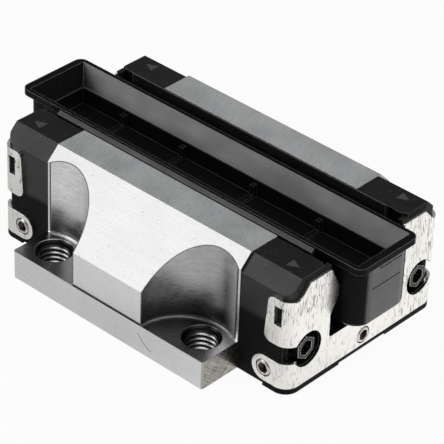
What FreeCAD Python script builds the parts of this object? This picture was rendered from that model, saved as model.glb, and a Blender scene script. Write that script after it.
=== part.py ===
"""Flanged ball carriage of a linear guide with its assembly arbor. Millimetres, mounting face at Z = 0.

X runs along the rail, Y across it and Z up from the mounting face. Right is +X, rear is +Y.
"""
import FreeCAD, Part
import math
import os
from types import SimpleNamespace

import Sketcher
from FreeCAD import Placement, Rotation, Vector

# Driving dimensions, one cell each
SIZES = {
    # ground steel runner block
    "flange_width": 70.0,
    "flange_thickness": 7.1,
    "side_setback": 0.3,
    "side_top": 15.6,
    "steel_length": 57.8,
    "steel_height": 28.95,
    "strip_outer_width": 42.0,
    "channel_mouth": 25.76,
    "channel_depth": 20.35,
    "shoulder_width": 48.4,
    "scallop_radius": 12.1,
    "scallop_fillet": 0.8,
    "edge_break": 0.4,
    "bolt_pitch_long": 45.0,
    "bolt_pitch_wide": 57.0,
    "bolt_bore": 8.0,
    "bolt_chamfer": 0.5,
    "middle_bolt_pitch": 40.0,
    "middle_bolt_depth": 9.0,
    # section of the rail that the carriage is made for, as depths below the block's top
    "rail_width": 23.0,
    "rail_waist": 18.2,
    "rail_head_depth": 17.25,
    "head_shoulder_depth": 13.55,
    "waist_bottom_depth": 9.65,
    "waist_top_depth": 6.75,
    "rail_flare_depth": 2.55,
    # balls, their rows, returns and raceway plates
    "ball_diameter": 4.76,
    "ball_play": 0.1,
    "race_play": 0.05,
    "return_play": 0.12,
    "row_pitch": 24.0,
    "low_row_depth": 16.15,
    "high_row_depth": 10.35,
    "return_pitch": 38.6,
    "low_return_depth": 13.75,
    "high_return_depth": 7.35,
    "race_wall": 1.2,
    "race_depth": 0.6,
    "load_plate_width": 4.0,
    # plastic ball guides and turn guides
    "guide_play": 0.15,
    "guide_tip": 0.8,
    "guide_head_play": 0.4,
    "floor_guide_inner": 13.0,
    "floor_guide_lip": 19.0,
    "waist_guide_lip_depth": 9.05,
    "turn_guide_length": 5.6,
    # side seals and end seals
    "seal_seat_depth": 4.65,
    "seal_foot_height": 2.3,
    "seal_foot_slope": 0.3,
    "seal_outer_width": 25.0,
    "seal_outer_rise": 0.05,
    "seal_inner_rise": 0.65,
    "seal_overhang": 9.1,
    "end_seal_thickness": 1.2,
    "end_seal_width": 27.0,
    "end_seal_step_down": 0.6,
    "end_seal_play": 0.1,
    # recirculation end caps
    "cap_length": 13.75,
    "cap_bevel_depth": 0.3,
    "cap_bevel_drop": 1.3,
    "cap_bevel_inset": 1.8,
    "cap_step_down": 0.35,
    "cap_top_width": 41.1,
    "cap_width": 48.0,
    "cap_bottom": 0.1,
    "cap_head_play": 2.5,
    "cap_play": 0.5,
    "lip_relief_width": 15.4,
    "lip_relief": 0.45,
    "mark_size": 2.6,
    "mark_rise": 0.15,
    "mark_along": 8.0,
    "mark_pitch": 35.8,
    # bent stainless end plates
    "plate_thickness": 0.7,
    "plate_bottom": 1.5,
    "plate_top_width": 37.6,
    "plate_slant_width": 43.2,
    "plate_slant_drop": 3.0,
    "plate_bend": 3.5,
    "plate_play": 0.2,
    "plate_head_play": 2.2,
    "wing_along": 7.5,
    "wing_drop": 3.3,
    "wing_over_screw": 2.3,
    "wing_lean": 0.9,
    "wing_corner": 1.5,
    "wing_low_corner": 1.8,
    "plate_waist_round": 2.4,
    "tab_top": 7.95,
    "slot_along": 2.6,
    "slot_width": 2.0,
    "slot_drop": 1.9,
    "slot_height": 4.7,
    "hook_play": 0.4,
    "hook_rise": 0.2,
    # collar screws, port screws and lubricant distributors
    "screw_pitch": 37.0,
    "screw_under_return": 5.1,
    "screw_thread": 3.0,
    "screw_thread_play": 0.03,
    "screw_hole_depth": 8.0,
    "screw_reach": 7.0,
    "screw_hole_play": 0.2,
    "screw_head": 5.0,
    "screw_head_height": 2.9,
    "screw_collar": 7.6,
    "screw_collar_height": 0.8,
    "screw_socket": 3.4,
    "screw_socket_depth": 2.0,
    "counterbore": 8.4,
    "counterbore_depth": 3.5,
    "plate_screw_opening": 8.6,
    "side_port_along": 7.9,
    "front_port_height": 4.1,
    "port_diameter": 4.2,
    "port_depth": 5.0,
    "port_channel": 3.0,
    "port_screw_play": 0.05,
    "port_screw_length": 4.4,
    "port_screw_bevel": 0.4,
    "port_screw_proud": 0.15,
    "port_socket": 2.4,
    "port_socket_depth": 1.8,
    "distributor_width": 30.0,
    "distributor_bottom": 2.2,
    "distributor_top": 7.6,
    "distributor_thickness": 2.4,
    "distributor_play": 0.1,
    # assembly arbor
    "arbor_play": 0.25,
    "arbor_length": 102.1,
    "arbor_shift": -1.75,
    "arbor_end_corner": 4.3,
    "arbor_foot_round": 1.2,
    "rim_overhang": 0.6,
    "rim_width": 19.24,
    "rim_step_down": 0.65,
    "rim_depth": 1.9,
    "rim_corner": 2.0,
    "rim_under_chamfer": 0.35,
    "tray_end_wall": 1.9,
    "tray_mouth_width": 17.1,
    "tray_ledge_width": 11.8,
    "tray_depth": 4.5,
    "tray_end_draft": 2.6,
    "pocket_width": 11.3,
    "pocket_depth": 4.2,
    "pocket_inset": 0.25,
    "rib_thickness": 1.2,
    "rib_step_down": 1.1,
    "rib_notch_width": 9.1,
    "rib_notch_rise": 0.6,
    "first_rib": 19.05,
    "second_rib": 37.7,
    "third_rib": 59.35,
    "fourth_rib": 78.7,
    "line_width": 0.3,
    "line_depth": 0.2,
    "parting_line_depth": 7.4,
    "panel_line_depth": 3.0,
    "panel_side": 5.0,
}

HALF_ROOT = math.sqrt(0.5)
TURN_OVER = Placement(Vector(), Rotation(Vector(0, 0, 1), 180))
ENDS = {"right": False, "left": True}
SIDES = {"rear": False, "front": True}

doc = FreeCAD.newDocument("carriage")
nodes = []


class Size:
    """A number together with the sheet expression that gives it."""

    def __init__(self, number, text):
        self.number = number
        self.text = text

    def joined(self, sign, other, number):
        return Size(number, f"({self.text} {sign} {as_size(other).text})")

    def __add__(self, other):
        return self.joined("+", other, self.number + as_size(other).number)

    def __sub__(self, other):
        return self.joined("-", other, self.number - as_size(other).number)

    def __mul__(self, other):
        return self.joined("*", other, self.number * as_size(other).number)

    def __truediv__(self, other):
        return self.joined("/", other, self.number / as_size(other).number)

    def __neg__(self):
        return self * -1.0


def as_size(value):
    return value if isinstance(value, Size) else Size(float(value), f"{float(value):.9f}")


def distance(a, b):
    """Length of the diagonal over two perpendicular sizes."""
    return Size(math.hypot(a.number, b.number), f"hypot({a.text}; {b.text})")


def make_sheet():
    sheet = doc.addObject("Spreadsheet::Sheet", "Sizes")
    for row, (alias, number) in enumerate(SIZES.items(), start=1):
        sheet.set(f"A{row}", alias)
        sheet.set(f"B{row}", str(number))
        sheet.setAlias(f"B{row}", alias)
    doc.recompute()
    return SimpleNamespace(**{alias: Size(float(sheet.get(alias)), f"Sizes.{alias}") for alias in SIZES})


d = make_sheet()

# Heights set by the block's top, because the rail and the caps follow it
channel_floor = d.steel_height - d.channel_depth
rail_head = d.steel_height - d.rail_head_depth
head_shoulder = d.steel_height - d.head_shoulder_depth
waist_bottom = d.steel_height - d.waist_bottom_depth
waist_top = d.steel_height - d.waist_top_depth
rail_flare = d.steel_height - d.rail_flare_depth
low_row = d.steel_height - d.low_row_depth
high_row = d.steel_height - d.high_row_depth
low_return = d.steel_height - d.low_return_depth
high_return = d.steel_height - d.high_return_depth
seal_seat = d.steel_height - d.seal_seat_depth
cap_height = d.steel_height - d.cap_step_down
cap_opening_floor = rail_head - d.cap_head_play
plate_top = cap_height - d.cap_bevel_drop
plate_opening_floor = rail_head - d.plate_head_play
screw_height = low_return - d.screw_under_return
wing_top = plate_top - d.wing_drop
wing_bottom = screw_height + d.wing_over_screw
slot_top = wing_top - d.slot_drop
slot_bottom = slot_top - d.slot_height
end_seal_bottom = (cap_opening_floor + d.front_port_height + d.port_diameter / 2) / 2
end_seal_top = cap_height - d.end_seal_step_down

# Lengths that several pieces share
block_end = d.steel_length / 2
cap_edge = block_end + d.cap_length
cap_front = cap_edge + d.cap_bevel_depth
plate_face = cap_front + d.plate_thickness
cap_side = d.cap_width / 2
wing_face = cap_side + d.plate_thickness
port_along = block_end + d.side_port_along
port_height = (d.plate_bottom + d.tab_top) / 2
wing_back = block_end + d.wing_along
slot_right = plate_face - d.slot_along
slot_left = slot_right - d.slot_width

ball_radius = d.ball_diameter / 2
track_radius = ball_radius + d.return_play
row = d.row_pitch / 2
race_back = ball_radius + d.race_wall
race_land = ball_radius - d.race_depth
plate_half = d.load_plate_width / 2
channel_wall = row + (race_back + plate_half) * HALF_ROOT
low_bevel = row - low_row + race_back * (2 * HALF_ROOT)
high_bevel = row + high_row + race_back * (2 * HALF_ROOT)
flare_slope = (d.rail_width - d.rail_waist) / 2 / (rail_flare - waist_top)
seat_inner = d.rail_waist / 2 + d.guide_play + flare_slope * (seal_seat - waist_top)

ROWS = {"low": (low_row, low_return), "high": (high_row, high_return)}


def bind(thing, place, value):
    thing.setExpression(place, as_size(value).text)


def new_body(label):
    body = doc.addObject("PartDesign::Body", label)
    body.Label = label
    return body


def add_sketch(body, role, offset=0.0):
    """A sketch on one of the body's origin planes, moved along the plane's normal."""
    plane = next(item for item in body.Origin.OriginFeatures if item.Role == role)
    sketch = body.newObject("Sketcher::SketchObject", "Sketch")
    sketch.AttachmentSupport = [(plane, "")]
    sketch.MapMode = "FlatFace"
    bind(sketch, "AttachmentOffset.Base.z", offset)
    return sketch


def fix(sketch, kind, geometry, point, value):
    value = as_size(value)
    if kind == "Radius":
        index = sketch.addConstraint(Sketcher.Constraint(kind, geometry, value.number))
    else:
        index = sketch.addConstraint(Sketcher.Constraint(kind, geometry, point, value.number))
    sketch.setExpression(f"Constraints[{index}]", value.text)


def polygon(sketch, corners):
    """A closed outline of straight lines with every corner held by the sheet."""
    corners = [(as_size(a), as_size(b)) for a, b in corners]
    points = [Vector(a.number, b.number, 0) for a, b in corners]
    first = sketch.GeometryCount
    count = len(points)
    sketch.addGeometry([Part.LineSegment(points[i], points[(i + 1) % count]) for i in range(count)])
    for i, (a, b) in enumerate(corners):
        following = first + (i + 1) % count
        sketch.addConstraint(Sketcher.Constraint("Coincident", first + i, 2, following, 1))
        fix(sketch, "DistanceX", first + i, 1, a)
        fix(sketch, "DistanceY", first + i, 1, b)


def rectangle(sketch, low, high):
    polygon(sketch, [(low[0], low[1]), (high[0], low[1]), (high[0], high[1]), (low[0], high[1])])


def circle(sketch, across, up, radius):
    centre = Vector(as_size(across).number, as_size(up).number, 0)
    index = sketch.addGeometry(Part.Circle(centre, Vector(0, 0, 1), as_size(radius).number))
    fix(sketch, "DistanceX", index, 3, across)
    fix(sketch, "DistanceY", index, 3, up)
    fix(sketch, "Radius", index, None, radius)


def mirrored(half):
    """A whole outline from its right half, listed from bottom to top or from top to bottom."""
    return half + [(-as_size(a), b) for a, b in reversed(half)]


def extrude(body, kind, sketch, length, reverse=False, both=False):
    """A Pad or Pocket of a sketch: reverse turns its direction, both makes it symmetric."""
    feature = body.newObject(f"PartDesign::{kind}", kind)
    feature.Profile = sketch
    feature.SideType = "Symmetric" if both else "One side"
    feature.Reversed = reverse
    bind(feature, "Length", length)
    return feature


def box(body, kind, low, high):
    """An Additive or Subtractive box between two corners."""
    feature = body.newObject(f"PartDesign::{kind}Box", f"{kind}Box")
    for side, axis, start, end in zip(("Length", "Width", "Height"), "xyz", low, high):
        bind(feature, side, as_size(end) - start)
        bind(feature, f"Placement.Base.{axis}", start)
    return feature


def rod(body, kind, start, axis, radius, length):
    """An Additive or Subtractive cylinder from a point along an axis."""
    feature = body.newObject(f"PartDesign::{kind}Cylinder", f"{kind}Cylinder")
    feature.Placement = Placement(Vector(), Rotation(Vector(0, 0, 1), Vector(*axis)))
    for letter, value in zip("xyz", start):
        bind(feature, f"Placement.Base.{letter}", value)
    bind(feature, "Radius", radius)
    bind(feature, "Height", length)
    return feature


def edges_at(feature, direction, places):
    """Names of the straight edges along a direction that pass through the given points."""
    doc.recompute()
    names = []
    for number, edge in enumerate(feature.Shape.Edges, start=1):
        if edge.Curve.TypeId != "Part::GeomLine":
            continue
        if abs(edge.tangentAt(edge.FirstParameter).dot(direction)) < 0.999:
            continue
        middle = edge.CenterOfMass
        for place in places:
            away = middle - Vector(*[as_size(value).number for value in place])
            away -= direction * away.dot(direction)
            if away.Length < 0.01:
                names.append(f"Edge{number}")
    return names


def soften(body, kind, feature, names, size):
    """A Fillet or a Chamfer on named edges."""
    softened = body.newObject(f"PartDesign::{kind}", kind)
    softened.Base = (feature, names)
    bind(softened, "Radius" if kind == "Fillet" else "Size", size)
    return softened


def finish(node, turned=False):
    """Turn a piece half round the Z axis if asked, and keep it as a node."""
    if turned:
        node.Placement = TURN_OVER
    nodes.append(node)


def rail_gap(play, floor, top):
    """Outline of an opening that the rail passes through with some play."""
    wide = d.rail_width / 2 + play
    narrow = d.rail_waist / 2 + play
    return mirrored([
        (wide, floor),
        (wide, head_shoulder),
        (narrow, waist_bottom),
        (narrow, waist_top),
        (wide, rail_flare),
        (wide, top),
    ])


def runner_block():
    """Ground steel body: flange, slanted shoulders, rail channel, scallops and bores."""
    body = new_body("runner_block")
    half = d.flange_width / 2
    mouth = d.channel_mouth / 2
    section = add_sketch(body, "YZ_Plane")
    polygon(section, mirrored([
        (half, 0.0),
        (half, d.flange_thickness),
        (half - d.side_setback, d.flange_thickness),
        (half - d.side_setback, d.side_top),
        (d.strip_outer_width / 2, d.steel_height),
        (mouth, d.steel_height),
        (mouth, high_bevel - mouth),
        (channel_wall, high_bevel - channel_wall),
        (channel_wall, channel_wall - low_bevel),
        (channel_floor + low_bevel, channel_floor),
    ]))
    solid = extrude(body, "Pad", section, d.steel_length, both=True)
    corners = [(sx * block_end.number, sy * half.number, 0) for sx in (-1, 1) for sy in (-1, 1)]
    upright = edges_at(solid, Vector(0, 0, 1), corners)
    soften(body, "Chamfer", solid, upright, d.edge_break)

    returns = add_sketch(body, "YZ_Plane")
    for height in (low_return, high_return):
        circle(returns, d.return_pitch / 2, height, track_radius)
        circle(returns, -d.return_pitch / 2, height, track_radius)
    extrude(body, "Pocket", returns, d.steel_length, both=True)

    scallops = add_sketch(body, "XY_Plane", d.flange_thickness)
    shoulders = add_sketch(body, "XY_Plane", d.flange_thickness)
    bolts = add_sketch(body, "XY_Plane")
    for sx in (-1.0, 1.0):
        for sy in (-1.0, 1.0):
            bolt = (d.bolt_pitch_long * (sx / 2), d.bolt_pitch_wide * (sy / 2))
            circle(scallops, bolt[0], half * sy, d.scallop_radius)
            rectangle(shoulders, (bolt[0], d.shoulder_width * (sy / 2)), (block_end * sx, half * sy))
            circle(bolts, bolt[0], bolt[1], d.bolt_bore / 2)
    cut = extrude(body, "Pocket", scallops, d.steel_height, reverse=True)
    doc.recompute()
    ring = [
        f"Edge{number}"
        for number, edge in enumerate(cut.Shape.Edges, start=1)
        if edge.Curve.TypeId == "Part::GeomCircle"
        and abs(edge.Curve.Radius - d.scallop_radius.number) < 1e-6
        and abs(edge.Curve.Center.z - d.flange_thickness.number) < 1e-6
    ]
    soften(body, "Fillet", cut, ring, d.scallop_fillet)
    extrude(body, "Pocket", shoulders, d.steel_height, reverse=True)
    drilled = extrude(body, "Pocket", bolts, d.flange_thickness + d.scallop_fillet, reverse=True)
    doc.recompute()
    mouths = [
        f"Edge{number}"
        for number, edge in enumerate(drilled.Shape.Edges, start=1)
        if edge.Curve.TypeId == "Part::GeomCircle"
        and abs(edge.Curve.Radius - d.bolt_bore.number / 2) < 1e-6
    ]
    soften(body, "Chamfer", drilled, mouths, d.bolt_chamfer)

    middle = add_sketch(body, "XY_Plane")
    for sy in (-1.0, 1.0):
        circle(middle, 0.0, d.middle_bolt_pitch * (sy / 2), d.bolt_bore / 2)
    extrude(body, "Pocket", middle, d.middle_bolt_depth, reverse=True)
    for sx in (-1.0, 1.0):
        for sy in (-1.0, 1.0):
            spot = (block_end * sx, d.screw_pitch * (sy / 2), screw_height)
            bore = d.screw_thread / 2 + d.screw_thread_play
            rod(body, "Subtractive", spot, (-sx, 0, 0), bore, d.screw_hole_depth)
    finish(body)


def load_plates():
    """Hardened strips that carry the balls, bedded on the channel's bevels."""
    for level, (height, _) in ROWS.items():
        lean = -1.0 if level == "low" else 1.0
        for side, turned in SIDES.items():
            body = new_body(f"load_plate_{side}_{level}")
            section = add_sketch(body, "YZ_Plane")
            polygon(section, [
                (row + (out + along) * HALF_ROOT, height + (out - along) * (HALF_ROOT * lean))
                for out, along in (
                    (race_land, -plate_half),
                    (race_land, plate_half),
                    (race_back, plate_half),
                    (race_back, -plate_half),
                )
            ])
            extrude(body, "Pad", section, d.steel_length, both=True)
            groove = add_sketch(body, "YZ_Plane")
            circle(groove, row, height, ball_radius + d.race_play)
            extrude(body, "Pocket", groove, d.steel_length, both=True)
            finish(body, turned)


def turn_geometry(level):
    """Middle of a turn, its radius and the direction from the load row to the return."""
    height, back_height = ROWS[level]
    across = d.return_pitch / 2 - row
    rise = back_height - height
    radius = distance(across, rise) / 2
    middle = ((d.return_pitch / 2 + row) / 2, (back_height + height) / 2)
    direction = Vector(0, across.number, rise.number).normalize()
    return middle, radius, direction


def ball_circuits():
    """Closed chains of balls: load row, turn, return row, turn."""
    for level, (height, back_height) in ROWS.items():
        middle, radius, direction = turn_geometry(level)
        centre = Vector(0, middle[0].number, middle[1].number)
        straight = d.steel_length.number
        turn = math.pi * radius.number
        whole = 2 * (straight + turn)
        count = int(whole // (d.ball_diameter.number + d.ball_play.number))
        balls = []
        for i in range(count):
            s = whole * i / count
            if s < straight:
                place = Vector(s - straight / 2, 0, 0) - direction * radius.number
            elif s < straight + turn:
                angle = (s - straight) / radius.number
                place = Vector(straight / 2, 0, 0) - direction * (radius.number * math.cos(angle))
                place.x += radius.number * math.sin(angle)
            elif s < 2 * straight + turn:
                place = Vector(1.5 * straight + turn - s, 0, 0) + direction * radius.number
            else:
                angle = (s - 2 * straight - turn) / radius.number
                place = Vector(-straight / 2, 0, 0) + direction * (radius.number * math.cos(angle))
                place.x -= radius.number * math.sin(angle)
            balls.append(Part.makeSphere(ball_radius.number, centre + place))
        for side, turned in SIDES.items():
            circuit = doc.addObject("Part::Feature", f"ball_circuit_{side}_{level}")
            circuit.Label = f"ball_circuit_{side}_{level}"
            circuit.Shape = Part.makeCompound(balls)
            finish(circuit, turned)


def strip(label, corners, length, turned, rows=()):
    """A long moulded strip of one section, hollowed beside the ball rows that it guides."""
    body = new_body(label)
    section = add_sketch(body, "YZ_Plane")
    polygon(section, corners)
    extrude(body, "Pad", section, length, both=True)
    if rows:
        hollow = add_sketch(body, "YZ_Plane")
        for height in rows:
            circle(hollow, row, height, ball_radius + d.guide_play)
        extrude(body, "Pocket", hollow, length, both=True)
    finish(body, turned)


def ball_guides():
    """Plastic strips that keep the balls in their raceways when no rail is there."""
    shift = d.guide_play * HALF_ROOT
    inner = row + (race_land + plate_half) * HALF_ROOT + shift
    drop = (race_land - plate_half) * HALF_ROOT - shift
    edge = d.guide_play * (2 * HALF_ROOT)
    centre = (low_row + high_row) / 2
    tip = d.rail_width / 2 + d.guide_play * 2
    middle = [
        (tip, centre - d.guide_tip / 2),
        (inner, low_row - drop),
        (channel_wall, channel_wall - low_bevel + edge),
        (channel_wall, high_bevel - channel_wall - edge),
        (inner, high_row + drop),
        (tip, centre + d.guide_tip / 2),
    ]
    near = row + (race_land - plate_half) * HALF_ROOT - shift
    reach = (race_land + plate_half) * HALF_ROOT + shift
    slope_sum = near + low_row - reach
    head_top = rail_head - d.guide_head_play
    floor = [
        (d.floor_guide_inner / 2, channel_floor),
        (channel_floor + low_bevel, channel_floor),
        ((slope_sum + low_bevel) / 2, (slope_sum - low_bevel) / 2),
        (near, low_row - reach),
        (d.floor_guide_lip / 2, head_top),
        (d.floor_guide_inner / 2, head_top),
    ]
    mouth = d.channel_mouth / 2
    waist_face = d.rail_waist / 2 + d.guide_play
    waist_lip = d.steel_height - d.waist_guide_lip_depth
    waist = [
        (waist_face, waist_lip),
        (waist_face + d.guide_play * 2, waist_lip),
        (near, high_row + reach),
        (mouth, mouth - near + high_row + reach),
        (mouth, seal_seat),
        (seat_inner, seal_seat),
        (waist_face, waist_top),
    ]
    for side, turned in SIDES.items():
        strip(f"ball_guide_{side}_middle", middle, d.steel_length, turned, (low_row, high_row))
        strip(f"ball_guide_{side}_floor", floor, d.steel_length, turned, (low_row,))
        strip(f"ball_guide_{side}_waist", waist, d.steel_length, turned, (high_row,))


def side_seals():
    """Long seals along the channel's mouth, standing a little proud of the steel."""
    mouth = d.channel_mouth / 2
    lip = d.rail_width / 2 + d.guide_play
    outer = d.seal_outer_width / 2
    foot_top = seal_seat + d.seal_foot_height
    section = [
        (seat_inner, seal_seat),
        (mouth, seal_seat),
        (mouth, foot_top),
        (outer, foot_top + d.seal_foot_slope),
        (outer, d.steel_height + d.seal_outer_rise),
        (lip, d.steel_height + d.seal_inner_rise),
        (lip, rail_flare),
    ]
    for side, turned in SIDES.items():
        strip(f"side_seal_{side}", section, d.steel_length + d.seal_overhang * 2, turned)


def turn_placement(level, end, side):
    """Place of a turn at an end of the block: local Y points out of the end, local Z along its axis."""
    middle, _, direction = turn_geometry(level)
    out = Vector(end, 0, 0)
    across = Vector(0, direction.y * side, direction.z)
    axis = across.cross(out)
    base = Vector(end * block_end.number, side * middle[0].number, middle[1].number)
    return base, across, out, axis


def turn_guides():
    """Half-round cores that the balls go round at each end of their circuits."""
    for end, end_sign in (("right", 1), ("left", -1)):
        for side, side_sign in (("rear", 1), ("front", -1)):
            for level in ROWS:
                _, radius, _ = turn_geometry(level)
                base, across, out, axis = turn_placement(level, end_sign, side_sign)
                core = doc.addObject("Part::Cylinder", f"turn_guide_{end}_{side}_{level}")
                core.Label = f"turn_guide_{end}_{side}_{level}"
                core.Angle = 180
                bind(core, "Radius", radius - ball_radius - d.ball_play)
                bind(core, "Height", d.turn_guide_length)
                start = base - axis * (d.turn_guide_length.number / 2)
                core.Placement = Placement(start, Rotation(across, out, axis, "YZX"))
                finish(core)


def cap_outline(drop, inset):
    """Outline of an end cap: drop lowers its top, inset moves its slants in square to themselves."""
    slant = d.cap_top_width / 2 + cap_height - inset * (2 * HALF_ROOT)
    return mirrored([
        (cap_side, d.cap_bottom),
        (cap_side, slant - cap_side),
        (slant - cap_height + drop, cap_height - drop),
    ])


def end_cap(label, turned):
    """Moulded recirculation cap: ball turns, rail opening, screw wells, ports and plate seats."""
    body = new_body(label)
    outline = add_sketch(body, "YZ_Plane", block_end)
    polygon(outline, cap_outline(as_size(0.0), as_size(0.0)))
    extrude(body, "Pad", outline, d.cap_length)
    back = add_sketch(body, "YZ_Plane", cap_edge)
    polygon(back, cap_outline(as_size(0.0), as_size(0.0)))
    front = add_sketch(body, "YZ_Plane", cap_front)
    polygon(front, cap_outline(d.cap_bevel_drop, d.cap_bevel_inset))
    bevel = body.newObject("PartDesign::AdditiveLoft", "Bevel")
    bevel.Profile = back
    bevel.Sections = [front]
    bevel.Ruled = True

    # upright front corners, rounded to the inside of the plate's bend
    bend = d.plate_bend - d.plate_thickness
    for sy in (-1.0, 1.0):
        corner = add_sketch(body, "XY_Plane")
        corner_arc(corner, cap_front, cap_side * sy, bend, sy)
        extrude(body, "Pocket", corner, cap_height, reverse=True)

    # lip that the plate stands on, level with the plate's outside
    lip = add_sketch(body, "XY_Plane", d.cap_bottom)
    rectangle(lip, (port_along, -wing_face), (plate_face, wing_face))
    ledge = extrude(body, "Pad", lip, d.plate_bottom - d.cap_bottom)
    tips = edges_at(ledge, Vector(0, 0, 1), [(plate_face, wing_face, 0), (plate_face, -wing_face, 0)])
    soften(body, "Fillet", ledge, tips, d.plate_bend)
    relief = d.lip_relief_width / 2
    box(
        body,
        "Subtractive",
        (port_along, -relief, d.cap_bottom),
        (plate_face, relief, d.cap_bottom + d.lip_relief),
    )

    opening = add_sketch(body, "YZ_Plane", block_end)
    wide = d.rail_width / 2 + d.cap_play
    narrow = d.rail_waist / 2 + d.cap_play
    seal_floor = seal_seat - d.cap_play
    seal_room = d.channel_mouth / 2 + d.guide_play
    polygon(opening, mirrored([
        (wide, cap_opening_floor),
        (wide, head_shoulder),
        (narrow, waist_bottom),
        (narrow, waist_top),
        (narrow + flare_slope * (seal_floor - waist_top), seal_floor),
        (seal_room, seal_floor),
        (seal_room, cap_height),
    ]))
    extrude(body, "Pocket", opening, cap_front - block_end, reverse=True)

    for side in (-1, 1):
        for level in ROWS:
            _, radius, _ = turn_geometry(level)
            base, across, out, axis = turn_placement(level, 1, side)
            track = body.newObject("PartDesign::SubtractiveTorus", "Track")
            bind(track, "Radius1", radius)
            bind(track, "Radius2", track_radius)
            track.Angle3 = 180
            track.Placement = Placement(base, Rotation(across, out, axis, "YZX"))
            core = body.newObject("PartDesign::SubtractiveCylinder", "CoreSeat")
            bind(core, "Radius", radius - ball_radius - d.ball_play)
            bind(core, "Height", d.turn_guide_length)
            start = base - axis * (d.turn_guide_length.number / 2)
            core.Placement = Placement(start, Rotation(across, out, axis, "YZX"))

    wiper = add_sketch(body, "YZ_Plane", cap_front)
    wiper_half = d.end_seal_width / 2 + d.end_seal_play
    rectangle(wiper, (-wiper_half, end_seal_bottom - d.end_seal_play), (wiper_half, cap_height))
    extrude(body, "Pocket", wiper, d.end_seal_thickness)

    room = d.distributor_play
    box(
        body,
        "Subtractive",
        (block_end, -d.distributor_width / 2 - room, d.distributor_bottom - room),
        (block_end + d.distributor_thickness, d.distributor_width / 2 + room, d.distributor_top + room),
    )
    for sy in (-1.0, 1.0):
        screw = d.screw_pitch * (sy / 2)
        shank = d.screw_thread / 2 + d.screw_hole_play
        well = d.counterbore / 2
        spot = (cap_front, screw, screw_height)
        rod(body, "Subtractive", spot, (-1, 0, 0), shank, cap_front - block_end)
        rod(body, "Subtractive", spot, (-1, 0, 0), well, d.counterbore_depth)
        mouth = (port_along, cap_side * sy, port_height)
        rod(body, "Subtractive", mouth, (0, -sy, 0), d.port_diameter / 2, d.port_depth)
        rod(body, "Subtractive", mouth, (0, -sy, 0), d.port_channel / 2, cap_side)
        # groove between the plate's wing and tab, from the screw well out to the side
        inner, outer = (screw, cap_side) if sy > 0 else (-cap_side, screw)
        box(
            body,
            "Subtractive",
            (cap_front - d.counterbore_depth / 2, inner, d.tab_top),
            (cap_front, outer, wing_bottom),
        )
        # snap hook in the wing's slot
        root = cap_side - d.hook_rise
        tip = cap_side + d.hook_rise
        inner, outer = (root, tip) if sy > 0 else (-tip, -root)
        box(
            body,
            "Additive",
            (slot_left + d.hook_play, inner, slot_bottom + d.hook_play),
            (slot_right - d.hook_play, outer, slot_top - d.hook_play),
        )
    port = (cap_front, 0.0, d.front_port_height)
    rod(body, "Subtractive", port, (-1, 0, 0), d.port_diameter / 2, d.port_depth)
    rod(body, "Subtractive", port, (-1, 0, 0), d.port_channel / 2, cap_front - block_end)

    marks = add_sketch(body, "XY_Plane", cap_height)
    for sy in (-1.0, 1.0):
        across = d.mark_pitch * (sy / 2)
        start = block_end + d.mark_along
        polygon(marks, [
            (start, across - d.mark_size / 2),
            (start + d.mark_size, across),
            (start, across + d.mark_size / 2),
        ])
    extrude(body, "Pad", marks, d.mark_rise)
    finish(body, turned)


def corner_arc(sketch, along, across, radius, sign):
    """The waste outside a rounded upright corner, to be cut away."""
    along, across = as_size(along), as_size(across)
    start = Vector(along.number - radius.number, across.number, 0)
    end = Vector(along.number, across.number - sign * radius.number, 0)
    tip = Vector(along.number, across.number, 0)
    centre = Vector(start.x, end.y, 0)
    ring = Part.Circle(centre, Vector(0, 0, 1), radius.number)
    angles = (0.0, math.pi / 2) if sign > 0 else (-math.pi / 2, 0.0)
    sides = [Part.LineSegment(start, tip), Part.LineSegment(tip, end)]
    sketch.addGeometry(sides + [Part.ArcOfCircle(ring, *angles)])
    first, last = (2, 1) if sign > 0 else (1, 2)
    for link in ((0, 2, 1, 1), (1, 2, 2, last), (2, first, 0, 1)):
        sketch.addConstraint(Sketcher.Constraint("Coincident", *link))
    fix(sketch, "DistanceX", 0, 1, along - radius)
    fix(sketch, "DistanceY", 0, 1, across)
    fix(sketch, "DistanceX", 1, 1, along)
    fix(sketch, "DistanceY", 1, 1, across)
    fix(sketch, "DistanceX", 1, 2, along)
    fix(sketch, "DistanceY", 1, 2, across - radius * sign)
    fix(sketch, "Radius", 2, None, radius)


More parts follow.
